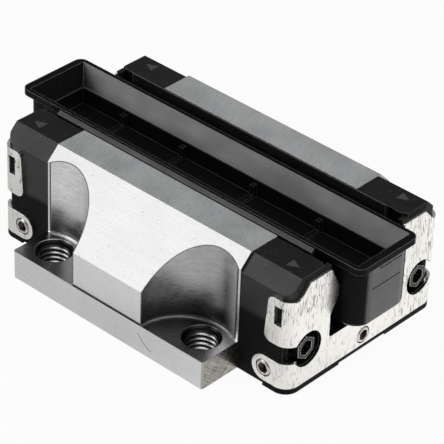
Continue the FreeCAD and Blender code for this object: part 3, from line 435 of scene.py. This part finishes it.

# %% Add the painted edge shade and the marks of handling


def edge_shade_marks(tree, faces):
    """Shares of painted shade along the edges round the scallops and along the ledge on the flange."""
    # The edge round each scallop is broken with a file, and a thin dark line is painted along it, as shade.
    edge = (SCALLOP + 0.1) * MM
    ring = add(tree, "ShaderNodeMath", {"operation": "COMPARE"}, n0=faces.radius, n1=edge, n2=0.1 * MM)
    over_seat = (FLANGE_TOP + 0.5) * MM
    raised = add(tree, "ShaderNodeMath", {"operation": "GREATER_THAN"}, n0=faces.height, n1=over_seat)
    filed_edge_shade = add(tree, "ShaderNodeMath", {"operation": "MULTIPLY"}, n0=ring, n1=raised)
    # A thin dark line is painted, as shade, on the narrow ledge between the flange and the flank above
    # it, not at the seats.
    top = FLANGE_TOP * MM
    step = add(tree, "ShaderNodeMath", {"operation": "COMPARE"}, n0=faces.height, n1=top, n2=0.13 * MM)
    inner = (FLANGE_SIDE - 0.4) * MM
    outer = add(tree, "ShaderNodeMath", {"operation": "GREATER_THAN"}, n0=faces.across, n1=inner)
    rim = add(tree, "ShaderNodeMath", {"operation": "MULTIPLY"}, n0=step, n1=outer)
    ledge_shade = add(tree, "ShaderNodeMath", {"operation": "GREATER_THAN"}, n0=rim, n1=faces.scallops)
    return filed_edge_shade, ledge_shade


def handling_marks(tree, place, faces):
    """Shares of the nicks, of the dull patches and of one scratch."""
    # A few nicks, a third of a millimetre across, are spread thinly over the ground faces.
    spots = add(tree, "ShaderNodeMapping", SPREAD, Vector=place, Scale=metres(0.45, 0.3, 0.3))
    chips = add(tree, "ShaderNodeTexNoise", Vector=spots, Scale=1.0, Detail=1.0)
    nicks = add(tree, "ShaderNodeMapRange", Value=chips, From_Min=0.72, From_Max=0.76, To_Min=0, To_Max=0.7)
    # Handling leaves faint dull patches about a centimetre across, more on the top strips than elsewhere.
    patch = add(tree, "ShaderNodeMapping", SPREAD, Vector=place, Scale=metres(9.0, 9.0, 9.0))
    cloud = add(tree, "ShaderNodeTexNoise", Vector=patch, Scale=1.0, Detail=2.0)
    haze = add(tree, "ShaderNodeMapRange", Value=cloud, From_Min=0.4, From_Max=0.65, To_Min=0, To_Max=1)
    deep = add(tree, "ShaderNodeMapRange", Value=faces.tops, From_Min=0, From_Max=1, To_Min=0.06, To_Max=0.25)
    dull = add(tree, "ShaderNodeMath", {"operation": "MULTIPLY"}, n0=haze, n1=deep)
    # One curved scratch, 5 mm long, crosses the near side of the flange: a piece of a circle's line, cut off
    # by a second circle.
    away = []
    for centre in ((18.9, -FLANGE_SIDE, 12.35), (11.8, -FLANGE_SIDE, 3.3)):
        span = add(tree, "ShaderNodeVectorMath", {"operation": "DISTANCE"}, n0=place, n1=metres(*centre))
        away.append(span.outputs["Value"])
    arc = add(tree, "ShaderNodeMath", {"operation": "COMPARE"}, n0=away[0], n1=11.8 * MM, n2=0.08 * MM)
    window = add(tree, "ShaderNodeMath", {"operation": "LESS_THAN"}, n0=away[1], n1=2.5 * MM)
    scratch = add(tree, "ShaderNodeMath", {"operation": "MULTIPLY"}, n0=arc, n1=window)
    return nicks, dull, scratch


print("marks ready")

# %% Make the ground steel
TORN_ROUGHNESS = 0.6


def ground_steel():
    # Bright grey metal whose fine lines streak the reflections along the cut; painted shade in the scallops.
    material, tree, shader, place, rounded = finish(
        "ground_bearing_steel", "BDBDBE", metallic=1.0, roughness=0.28, edge=0.14
    )
    faces = block_masks(tree, place)
    along = add(tree, "ShaderNodeSeparateXYZ", Vector=place).outputs["X"]
    lines = cutting_lines(tree, place, faces)
    fine = add(tree, "ShaderNodeMapRange", Value=lines, From_Min=0.3, From_Max=0.7, To_Min=0.25, To_Max=0.32)
    torn = torn_share(tree, along, faces)
    rough = add(tree, "ShaderNodeMix", {"data_type": "FLOAT"}, Factor=torn, A=fine, B=TORN_ROUGHNESS)
    filed_edge_shade, ledge_shade = edge_shade_marks(tree, faces)
    nicks, dull, scratch = handling_marks(tree, place, faces)
    tone = lines_and_painted_light_tone(tree, lines, faces)
    for share, code in (
        # The foot of the scallops: painted shade.
        (scallop_shade_share(tree, along, faces), "38393B"),
        (nicks, "4A4A4B"),
        (dull, "8E8F92"),
        # Thin dark lines painted as shade round the scallops and along the ledge.
        (filed_edge_shade, "5A5A5B"),
        (ledge_shade, "333334"),
        (scratch, "3A3A3B"),
        # The bores are painted dark, as the shade inside them.
        (faces.bores, "2A2A2B"),
    ):
        tone = add(tree, "ShaderNodeMix", {"data_type": "RGBA"}, Factor=share, A=tone, B=linear(code))
    bump = add(tree, "ShaderNodeBump", Strength=0.12, Distance=0.01 * MM, Height=lines, Normal=rounded)
    wire(tree, shader, Base_Color=tone, Roughness=rough, Normal=bump)
    return material


steel = ground_steel()
dress(nodes["runner_block"], steel)
print("ground steel on the block")

# %% [markdown]
# ## Steel of the threads
#
# The tapped thread is painted dark between its ridges, as shade, and its crests are painted pale, as
# highlights. The ridges are pieces of their own, so they get a metal of their own. Crests could be painted
# by hand, but the distance from the hole's axis tells a crest from a flank, wherever the thread has wound to.

# %% Make the threads' steel


def cut_thread():
    # Tapped steel: painted shade between the ridges and on the left, painted highlights on the other crests.
    painted_shade = "2E2E2F"
    material, tree, shader, place, _ = finish(
        "tapped_thread_steel", painted_shade, metallic=1.0, roughness=0.25, edge=0.03
    )
    axis = bolt_distance(tree, place)
    crest = add(
        tree,
        "ShaderNodeMapRange",
        Value=axis,
        From_Min=(CREST + 0.22) * MM,
        From_Max=(CREST + 0.1) * MM,
        To_Min=0,
        To_Max=1,
    )
    # The holes' axes lie at multiples of one step, so the wrapped place is the offset from the nearest axis.
    along = add(tree, "ShaderNodeSeparateXYZ", Vector=place).outputs["X"]
    half = HOLE_ALONG / 2 * MM
    offset = add(tree, "ShaderNodeMath", {"operation": "WRAP"}, n0=along, n1=half, n2=-half)
    # The left side of each thread is painted dark, as shade.
    lit_side = add(
        tree,
        "ShaderNodeMapRange",
        Value=offset,
        From_Min=-3.2 * MM,
        From_Max=-2.4 * MM,
        To_Min=0.1,
        To_Max=1,
    )
    crest_highlight = add(tree, "ShaderNodeMath", {"operation": "MULTIPLY"}, n0=crest, n1=lit_side)
    tone = add(
        tree, "ShaderNodeMix", {"data_type": "RGBA"}, Factor=crest_highlight, A=linear(painted_shade), B=linear("DADADA")
    )
    spread = add(tree, "ShaderNodeMapping", SPREAD, Vector=place, Scale=metres(1.5, 1.5, 0.3))
    film_and_shade = add(tree, "ShaderNodeTexNoise", Vector=spread, Scale=1.0, Detail=2.0)
    rough = add(tree, "ShaderNodeMapRange", Value=film_and_shade, From_Min=0.3, From_Max=0.7, To_Min=0.18, To_Max=0.36)
    wire(tree, shader, Base_Color=tone, Roughness=rough)
    return material


thread = cut_thread()
for ridge in ridges:
    dress(ridge, thread)
print("cut threads on", len(ridges), "ridges")

# %% [markdown]
# ## Raceways and balls
#
# Inside, the balls run between hardened plates. Both are finished much finer than the block: the plates are
# honed lengthwise and the balls are lapped to a mirror. They only show when the arbor has been pushed out.

# %% Make the hardened steel


def honed_steel():
    # Smoother than the block, with long hairlines a tenth of a millimetre wide, drawn three times as wide.
    material, tree, shader, place, _ = finish(
        "honed_raceway_steel", "BFC1C4", metallic=1.0, roughness=0.18, edge=0.08
    )
    spread = add(tree, "ShaderNodeMapping", SPREAD, Vector=place, Scale=metres(30.0, 0.3, 0.3))
    lines = add(tree, "ShaderNodeTexNoise", Vector=spread, Scale=1.0, Detail=3.0)
    rough = add(
        tree, "ShaderNodeMapRange", Value=lines, From_Min=0.3, From_Max=0.7, To_Min=0.12, To_Max=0.28
    )
    wire(tree, shader, Roughness=rough)
    return material


def lapped_steel():
    # A mirror with a thin smear of grease, in patches of a millimetre or two.
    material, tree, shader, place, _ = finish(
        "lapped_ball_steel", "D2D3D6", metallic=1.0, roughness=0.06, edge=0.01
    )
    spread = add(tree, "ShaderNodeMapping", SPREAD, Vector=place, Scale=metres(1.5, 1.5, 1.5))
    smear = add(tree, "ShaderNodeTexNoise", Vector=spread, Scale=1.0, Detail=2.0)
    rough = add(
        tree, "ShaderNodeMapRange", Value=smear, From_Min=0.35, From_Max=0.7, To_Min=0.04, To_Max=0.12
    )
    wire(tree, shader, Roughness=rough)
    return material


raceway = honed_steel()
ball = lapped_steel()
for name, node in nodes.items():
    if name.startswith("load_plate"):
        dress(node, raceway)
    if name.startswith("ball_circuit"):
        dress(node, ball)
print("raceways and balls dressed")

# %% [markdown]
# ## Stainless sheet
#
# The end plates are bright rolled stainless steel. Bending and handling have left fine wavy scratches and
# specks. A scratch is a long thin line, and a noise has none, but the contour lines of a noise are long and
# thin: the noise is multiplied so that it passes the same value many times, and only a narrow band around
# that value is kept. A second, coarser noise breaks the lines into short ticks.

# %% Make the stainless sheet


def stainless():
    # Pale, slightly warm metal, almost white under a softbox, with thin grey ticks.
    pale = "F6F4EF"
    material, tree, shader, place, rounded = finish(
        "bright_stainless_sheet", pale, metallic=1.0, roughness=0.25, edge=0.2
    )
    spread = add(tree, "ShaderNodeMapping", SPREAD, Vector=place, Scale=metres(1.2, 1.2, 9.0))
    waves = add(tree, "ShaderNodeTexNoise", Vector=spread, Scale=1.0, Detail=2.0, Distortion=0.3)
    many = add(tree, "ShaderNodeMath", {"operation": "MULTIPLY"}, n0=waves, n1=7.0)
    fold = add(tree, "ShaderNodeMath", {"operation": "PINGPONG"}, n0=many, n1=0.5)
    thin = add(tree, "ShaderNodeMapRange", Value=fold, From_Min=0.16, From_Max=0.06, To_Min=0, To_Max=1)
    patch = add(tree, "ShaderNodeMapping", SPREAD, Vector=place, Scale=metres(1.2, 1.2, 2.0))
    breaks = add(tree, "ShaderNodeTexNoise", Vector=patch, Scale=1.0, Detail=3.0)
    # The far end of each plate and the parts beside the channel are scratched more, in unbroken lines.
    spans = add(tree, "ShaderNodeSeparateXYZ", Vector=place).outputs
    far = add(
        tree, "ShaderNodeMapRange", Value=spans["Y"], From_Min=9 * MM, From_Max=14 * MM, To_Min=0, To_Max=0.3
    )
    high = add(
        tree, "ShaderNodeMapRange", Value=spans["Z"], From_Min=18 * MM, From_Max=21 * MM, To_Min=0, To_Max=0.2
    )
    wear_and_highlight = add(tree, "ShaderNodeMath", {"operation": "MAXIMUM"}, n0=far, n1=high)
    more = add(tree, "ShaderNodeMath", {"operation": "ADD"}, n0=breaks, n1=wear_and_highlight)
    kept = add(tree, "ShaderNodeMapRange", Value=more, From_Min=0.44, From_Max=0.68, To_Min=0, To_Max=0.7)
    ticks = add(tree, "ShaderNodeMath", {"operation": "MULTIPLY"}, n0=thin, n1=kept)
    tone = add(
        tree, "ShaderNodeMix", {"data_type": "RGBA"}, Factor=ticks, A=linear(pale), B=linear("6E6B66")
    )
    rough = add(tree, "ShaderNodeMapRange", Value=ticks, From_Min=0, From_Max=1, To_Min=0.22, To_Max=0.45)
    swell = add(tree, "ShaderNodeMapping", SPREAD, Vector=place, Scale=metres(3.0, 3.0, 3.0))
    ripple = add(tree, "ShaderNodeTexNoise", Vector=swell, Scale=1.0, Detail=1.0)
    bump = add(tree, "ShaderNodeBump", Strength=0.3, Distance=0.1 * MM, Height=ripple, Normal=rounded)
    wire(tree, shader, Base_Color=tone, Roughness=rough, Normal=bump)
    return material


sheet = stainless()
for end in ("right", "left"):
    dress(nodes[f"end_plate_{end}"], sheet)
print("stainless on the end plates")

# %% [markdown]
# ## Black plastics
#
# Caps, arbor, seals and guides are all moulded or extruded in nearly black plastic. So what the eye reads is
# not colour but how each face scatters the light, and the paler lines along the rounded edges, which are
# painted highlights. One function makes them all, with its own colour, gloss and grain for each. Two more
# find faces by their direction and make chosen places rough and dull.

# %% Mould a black plastic
DULL_ROUGHNESS = 0.6
DULL_GLOSS = 0.1


def black_plastic(name, code, wear_and_highlight, roughness, gloss, grit, edge):
    """A dark moulding with painted edge highlights. Gloss is its specular level, grit and edge are in mm."""
    material, tree, shader, place, rounded = finish(
        name, code, metallic=0.0, roughness=roughness, edge=edge
    )
    wire(tree, shader, IOR=1.53, Specular_IOR_Level=gloss)
    # The roughness drifts in clouds some millimetres across, as the melt flowed.
    flow = add(tree, "ShaderNodeMapping", SPREAD, Vector=place, Scale=metres(9.0, 4.0, 4.0))
    cloud = add(tree, "ShaderNodeTexNoise", Vector=flow, Scale=1.0, Detail=3.0)
    rough = add(
        tree,
        "ShaderNodeMapRange",
        Value=cloud,
        From_Min=0.3,
        From_Max=0.7,
        To_Min=roughness - 0.06,
        To_Max=roughness + 0.06,
    )
    # The mould's grain gives a fine bump.
    texture = add(tree, "ShaderNodeMapping", SPREAD, Vector=place, Scale=metres(grit, grit, grit))
    fine = add(tree, "ShaderNodeTexNoise", Vector=texture, Scale=1.0, Detail=1.0)
    bump = add(tree, "ShaderNodeBump", Strength=0.4, Distance=0.015 * MM, Height=fine, Normal=rounded)
    # Thin highlights are painted along the edges in a paler colour.
    edges = edge_mask(tree, rounded)
    tone = add(tree, "ShaderNodeMix", {"data_type": "RGBA"}, Factor=edges, A=linear(code), B=linear(wear_and_highlight))
    # Specks of dust, a quarter of a millimetre across, lie thinly on everything.
    grains = add(tree, "ShaderNodeMapping", SPREAD, Vector=place, Scale=metres(0.4, 0.4, 0.4))
    specks = add(tree, "ShaderNodeTexNoise", Vector=grains, Scale=1.0, Detail=0.0)
    dust = add(tree, "ShaderNodeMapRange", Value=specks, From_Min=0.78, From_Max=0.86, To_Min=0, To_Max=0.5)
    tone = add(tree, "ShaderNodeMix", {"data_type": "RGBA"}, Factor=dust, A=tone, B=linear("7A7A78"))
    wire(tree, shader, Base_Color=tone, Roughness=rough, Normal=bump)
    return SimpleNamespace(
        material=material, tree=tree, shader=shader, place=place, rough=rough, gloss=gloss, tone=tone
    )


def turned_share(skin, letter, low, high):
    """How far a face is turned to an axis, from 0 at the low limit to 1 at the high one."""
    facing = add(skin.tree, "ShaderNodeTexCoord").outputs["Normal"]
    size = add(skin.tree, "ShaderNodeVectorMath", {"operation": "ABSOLUTE"}, n0=facing)
    part = add(skin.tree, "ShaderNodeSeparateXYZ", Vector=size).outputs[letter]
    return add(skin.tree, "ShaderNodeMapRange", Value=part, From_Min=low, From_Max=high, To_Min=0, To_Max=1)


def dull_where(skin, mask):
    """Make a moulding rough and dull where a mask is 1, and leave it as it is where the mask is 0."""
    tree = skin.tree
    rough = add(
        tree, "ShaderNodeMix", {"data_type": "FLOAT"}, Factor=mask, A=skin.rough, B=DULL_ROUGHNESS
    )
    level = add(tree, "ShaderNodeMix", {"data_type": "FLOAT"}, Factor=mask, A=skin.gloss, B=DULL_GLOSS)
    wire(tree, skin.shader, Roughness=rough, Specular_IOR_Level=level)


print("black plastic ready")

# %% [markdown]
# ## Caps and arbor
#
# The end caps are moulded polyamide with a soft gloss, and their front, under the plate, and their lower half
# are left as the mould was eroded, rough and dull. The raised marks on their tops are painted paler, as a
# highlight, and the snap hooks darker, as shade. The arbor is a cheaper moulding: its slanted walls and its
# end faces are polished, so that it leaves the mould, and the rest of it is dull. The direction and the
# height of a face tell which it is.

# %% Make the caps' and the arbor's plastic
# Heights of the raised marks on the caps and of the arbor's rim, and the caps' half width, in millimetres.
MARKS = 28.68
RIM = 26.4
CAP_SIDE = 24.0


def cap_polyamide():
    # Deep black with a soft gloss, dull in front and on the lower half. Raised marks: painted highlight.
    skin = black_plastic(
        "moulded_cap_polyamide", "0A0A0B", "6A6A6C", roughness=0.32, gloss=0.42, grit=0.3, edge=0.18
    )
    height = add(skin.tree, "ShaderNodeSeparateXYZ", Vector=skin.place).outputs["Z"]
    # From 1, quite dull, to 0, glossy: the lower half, the front above it, the tops and all the rest. The
    # dull half reaches up a little higher on the right-hand cap than on the left-hand one.
    tilted = add(
        skin.tree, "ShaderNodeVectorMath", {"operation": "DOT_PRODUCT"}, n0=skin.place, n1=(-0.04, 0, 1)
    )
    dull = add(
        skin.tree,
        "ShaderNodeMapRange",
        Value=tilted.outputs["Value"],
        From_Min=16.0 * MM,
        From_Max=14.5 * MM,
        To_Min=0,
        To_Max=1,
    )
    for letter, low, share in (("X", 0.8, 0.55), ("Z", 0.9, 0.4)):
        turned = turned_share(skin, letter, low, 0.97)
        part = add(skin.tree, "ShaderNodeMath", {"operation": "MULTIPLY"}, n0=turned, n1=share)
        dull = add(skin.tree, "ShaderNodeMath", {"operation": "MAXIMUM"}, n0=dull, n1=part)
    # The snap hooks stand out from the sides, in the plates' slots, and are painted darker there, as shade.
    mirrored = add(skin.tree, "ShaderNodeVectorMath", {"operation": "ABSOLUTE"}, n0=skin.place)
    across = add(skin.tree, "ShaderNodeSeparateXYZ", Vector=mirrored).outputs["Y"]
    proud = (CAP_SIDE + 0.05) * MM
    hooks = add(skin.tree, "ShaderNodeMath", {"operation": "GREATER_THAN"}, n0=across, n1=proud)
    dull = add(skin.tree, "ShaderNodeMath", {"operation": "MAXIMUM"}, n0=dull, n1=hooks)
    dull_where(skin, dull)
    marks = add(skin.tree, "ShaderNodeMath", {"operation": "GREATER_THAN"}, n0=height, n1=MARKS * MM)
    tone = skin.tone
    # The raised marks are painted paler as a highlight, the hooks darker as shade.
    for mask, code in ((marks, "4C4C4E"), (hooks, "060607")):
        tone = add(skin.tree, "ShaderNodeMix", {"data_type": "RGBA"}, Factor=mask, A=tone, B=linear(code))
    wire(skin.tree, skin.shader, Base_Color=tone)
    return skin.material


def arbor_plastic():
    # Grey sheen on the polished slants and end faces, a dull dark skin elsewhere.
    dark = "0C0C0D"
    skin = black_plastic(
        "moulded_arbor_plastic", dark, "868688", roughness=0.32, gloss=1.0, grit=0.35, edge=0.2
    )
    ends = turned_share(skin, "X", 0.92, 0.98)
    sides = turned_share(skin, "Y", 0.6, 0.75)
    up = turned_share(skin, "Z", 0.25, 0.4)
    slants = add(skin.tree, "ShaderNodeMath", {"operation": "MULTIPLY"}, n0=sides, n1=up)
    height = add(skin.tree, "ShaderNodeSeparateXYZ", Vector=skin.place).outputs["Z"]
    body = add(skin.tree, "ShaderNodeMath", {"operation": "LESS_THAN"}, n0=height, n1=RIM * MM)
    flats = add(skin.tree, "ShaderNodeMath", {"operation": "MULTIPLY"}, n0=ends, n1=body)
    polished = add(skin.tree, "ShaderNodeMath", {"operation": "MAXIMUM"}, n0=flats, n1=slants)
    rest = add(skin.tree, "ShaderNodeMath", {"operation": "SUBTRACT"}, n0=1.0, n1=polished)
    dull_where(skin, rest)
    # Below the rim the tone is drawn 60 per cent back to the plain dark, so the painted edge highlights and
    # the dust are fainter there, and the tray inside is painted darker, as shade.
    kept = add(skin.tree, "ShaderNodeMath", {"operation": "MULTIPLY"}, n0=body, n1=0.6)
    tone = add(
        skin.tree, "ShaderNodeMix", {"data_type": "RGBA"}, Factor=kept, A=skin.tone, B=linear(dark)
    )
    wire(skin.tree, skin.shader, Base_Color=tone)
    return skin.material


print("caps and arbor ready")

# %% Dress the black pieces
SKINS = {"end_cap": cap_polyamide(), "assembly_arbor": arbor_plastic()}
# The plainer ones: name, colour, colour of the painted edge highlights, roughness, gloss, and grit and edge
# in millimetres.
for start, settings in (
    ("lube_distributor", ("oiled_felt_carrier", "0E0E0F", "3A3A3B", 0.4, 0.4, 0.3, 0.12)),
    ("side_seal", ("extruded_seal_plastic", "161617", "7C7C7E", 0.34, 0.8, 0.4, 0.15)),
    ("end_seal", ("wiper_rubber", "0C0C0C", "2E2E2E", 0.6, 0.4, 0.25, 0.1)),
    ("ball_guide", ("guide_polyamide", "19191B", "4C4C4E", 0.4, 0.5, 0.3, 0.12)),
):
    SKINS[start] = black_plastic(*settings).material
SKINS["turn_guide"] = SKINS["ball_guide"]
for name, node in nodes.items():
    for start, skin in SKINS.items():
        if name.startswith(start):
            dress(node, skin)
print("black plastics on", sum(name.startswith(tuple(SKINS)) for name in nodes), "pieces")

# %% [markdown]
# ## Screws
#
# The collar screws are blackened steel, rubbed bright along the edges of the head. The set screws that
# close the lubrication ports are plain steel. Rubbed edges need no hand-painted mask: where the rounded
# normal of the Bevel node departs from the true one, there is an edge, and there the black is worn off.

# %% Make the screw metals


def blackened_screw():
    # Dark oxide, satin, with a bright steel line on every worn edge.
    oxide = "343435"
    material, tree, shader, place, rounded = finish(
        "blackened_screw_steel", oxide, metallic=0.9, roughness=0.35, edge=0.3
    )
    edge = edge_mask(tree, rounded)
    tone = add(
        tree, "ShaderNodeMix", {"data_type": "RGBA"}, Factor=edge, A=linear(oxide), B=linear("C9C8C4")
    )
    spread = add(tree, "ShaderNodeMapping", SPREAD, Vector=place, Scale=metres(0.4, 0.4, 0.4))
    marks = add(tree, "ShaderNodeTexNoise", Vector=spread, Scale=1.0, Detail=2.0)
    rough = add(
        tree, "ShaderNodeMapRange", Value=marks, From_Min=0.3, From_Max=0.7, To_Min=0.28, To_Max=0.42
    )
    wire(tree, shader, Base_Color=tone, Roughness=rough)
    return material


def set_screw():
    # Plain turned steel, painted dark as shade where the socket lets no light in.
    plain = "D6D4CF"
    material, tree, shader, place, _ = finish(
        "set_screw_steel", plain, metallic=1.0, roughness=0.3, edge=0.12
    )
    # Where the ambient occlusion finds the socket closed in, the steel is painted dark, as shade.
    open_air = add(tree, "ShaderNodeAmbientOcclusion", {"samples": 8}, Distance=1.5 * MM)
    socket_shade = add(
        tree,
        "ShaderNodeMapRange",
        Value=open_air.outputs["AO"],
        From_Min=0.75,
        From_Max=0.5,
        To_Min=0,
        To_Max=1,
    )
    tone = add(
        tree, "ShaderNodeMix", {"data_type": "RGBA"}, Factor=socket_shade, A=linear(plain), B=linear("1A1918")
    )
    spread = add(tree, "ShaderNodeMapping", SPREAD, Vector=place, Scale=metres(0.5, 0.5, 0.5))
    marks = add(tree, "ShaderNodeTexNoise", Vector=spread, Scale=1.0, Detail=2.0)
    rough = add(tree, "ShaderNodeMapRange", Value=marks, From_Min=0.3, From_Max=0.7, To_Min=0.22, To_Max=0.42)
    wire(tree, shader, Base_Color=tone, Roughness=rough)
    return material


collar_metal = blackened_screw()
port_metal = set_screw()
for name, node in nodes.items():
    if name.startswith("collar_screws"):
        dress(node, collar_metal)
    if name.startswith(("front_port", "side_port")):
        dress(node, port_metal)
print("screws dressed")

# %% [markdown]
# ## Light
#
# Metal shows what it mirrors, so each lamp has a face to serve. The key softbox stands at the front left,
# where the slanted shoulder of the block and the wall inside the arbor mirror it. A small one above it draws
# the bright line on the near seal, a dim one behind gives the ground strips their grey, and a wide one
# overhead sets the plain level of the light. One at the back right does for the far shoulder what the key
# does for the near one.

# %% Hang the softboxes
LAMP_DISTANCE = 0.9
CARRIAGE_MIDDLE = Vector((0, 0, 0.015))


def softbox(name, towards, width, height, brightness):
    """Hang a rectangular lamp that looks at the carriage. Its brightness is as seen in a mirror."""
    lamp = bpy.data.lights.new(name, "AREA")
    lamp.shape = "RECTANGLE"
    lamp.size = width
    lamp.size_y = height
    lamp.energy = brightness * math.pi * width * height
    light = bpy.data.objects.new(name, lamp)
    bpy.context.collection.objects.link(light)
    out = Vector(towards).normalized()
    light.location = out * LAMP_DISTANCE + CARRIAGE_MIDDLE
    light.rotation_euler = out.to_track_quat("Z", "Y").to_euler()


softbox("key_softbox", (-0.565, -0.70, 0.44), width=0.5, height=0.7, brightness=2.0)
softbox("seal_softbox", (-0.54, -0.36, 0.76), width=0.25, height=0.2, brightness=2.0)
softbox("back_softbox", (-0.56, 0.62, 0.55), width=0.5, height=0.35, brightness=0.27)
softbox("rear_softbox", (0.4, 0.65, 0.64), width=0.6, height=0.5, brightness=1.0)
softbox("overhead_softbox", (0.35, -0.1, 0.93), width=1.0, height=1.0, brightness=1.1)

# %% [markdown]
# ## The white sweep
#
# The carriage lies on white paper. More light would make the paper white, but the steel too, so the paper
# glows a little for the camera instead, and still takes the carriage's shadow. From below it can be looked
# through. In reflections it is white behind the carriage and darker in front and far away, as if black cards
# lay there, because in the photograph the faces that look that way are dark.

# %% Lay the sweep
# The sweep lies a hair below the carriage, and half its width is 3 m.
floor_shape = bmesh.new()
hair = Matrix.Translation((0, 0, -0.05 * MM))
bmesh.ops.create_grid(floor_shape, x_segments=1, y_segments=1, size=3.0, matrix=hair)
floor_data = bpy.data.meshes.new("white_sweep")
floor_shape.to_mesh(floor_data)
floor_shape.free()
floor = bpy.data.objects.new("white_sweep", floor_data)
bpy.context.collection.objects.link(floor)

paper, paper_tree, paper_shader, spot, _ = finish(
    "white_paper", "F4F4F4", metallic=0.0, roughness=0.9, edge=0.1
)
print("sweep laid,", floor.dimensions.x, "m wide")

# %% Make the sweep glow
path = add(paper_tree, "ShaderNodeLightPath").outputs
mirrored = None
# Each line: a direction on the sweep, two distances along it in metres, and the share of white at them. The
# first is dark in front, the second dark far behind, and the third a little brighter by the near flange.
for direction, near, far, first, last in (
    ((1, 1, 0), -0.03, 0.05, 0.58, 1.0),
    ((1, 1, 0), 0.13, 0.2, 1.0, 0.3),
    ((0, 1, 0), -0.0475, -0.0415, 1.2, 1.0),
):
    measure = add(
        paper_tree, "ShaderNodeVectorMath", {"operation": "DOT_PRODUCT"}, n0=spot, n1=direction
    )
    step = add(
        paper_tree,
        "ShaderNodeMapRange",
        Value=measure.outputs["Value"],
        From_Min=near,
        From_Max=far,
        To_Min=first,
        To_Max=last,
    )
    if mirrored:
        step = add(paper_tree, "ShaderNodeMath", {"operation": "MULTIPLY"}, n0=mirrored, n1=step)
    mirrored = step
strength = add(
    paper_tree, "ShaderNodeMix", {"data_type": "FLOAT"}, Factor=path["Is Glossy Ray"], A=1.0, B=mirrored
)
glow = add(paper_tree, "ShaderNodeEmission", Color=linear("FFFFFF"), Strength=strength)
watched = add(paper_tree, "ShaderNodeMath", {"operation": "MULTIPLY"}, n0=path["Is Camera Ray"], n1=0.94)
share = add(paper_tree, "ShaderNodeMath", {"operation": "ADD"}, n0=path["Is Glossy Ray"], n1=watched)
blend = add(paper_tree, "ShaderNodeMixShader", n0=share, n1=paper_shader, n2=glow)
below = add(paper_tree, "ShaderNodeNewGeometry").outputs["Backfacing"]
clear = add(paper_tree, "ShaderNodeBsdfTransparent")
one_sided = add(paper_tree, "ShaderNodeMixShader", n0=below, n1=blend, n2=clear)
wire(paper_tree, paper_tree.nodes["Material Output"], Surface=one_sided)
dress(floor, paper)
print("sweep glows for the camera and in reflections")

# %% [markdown]
# ## The world around
#
# What the lamps and the sweep leave open is filled by the world. It is a dim grey, a little paler at the
# horizon, so that the black pieces stay black. The camera alone sees it white.

# %% Paint the world
world = bpy.data.worlds.new("studio")
bpy.context.scene.world = world
world.use_nodes = True
sky = world.node_tree
look = add(sky, "ShaderNodeTexCoord").outputs["Generated"]
height = add(sky, "ShaderNodeSeparateXYZ", Vector=look).outputs["Z"]
overhead = add(sky, "ShaderNodeMapRange", Value=height, From_Min=0.0, From_Max=0.3, To_Min=0, To_Max=1)
shade = add(
    sky, "ShaderNodeMix", {"data_type": "RGBA"}, Factor=overhead, A=linear("9A9A9A"), B=linear("646464")
)
seen = add(sky, "ShaderNodeLightPath").outputs["Is Camera Ray"]
backdrop = add(sky, "ShaderNodeMix", {"data_type": "RGBA"}, Factor=seen, A=shade, B=linear("FFFFFF"))
wire(sky, sky.nodes["Background"], Color=backdrop)
bpy.context.scene.view_settings.view_transform = "Standard"
print("world painted")
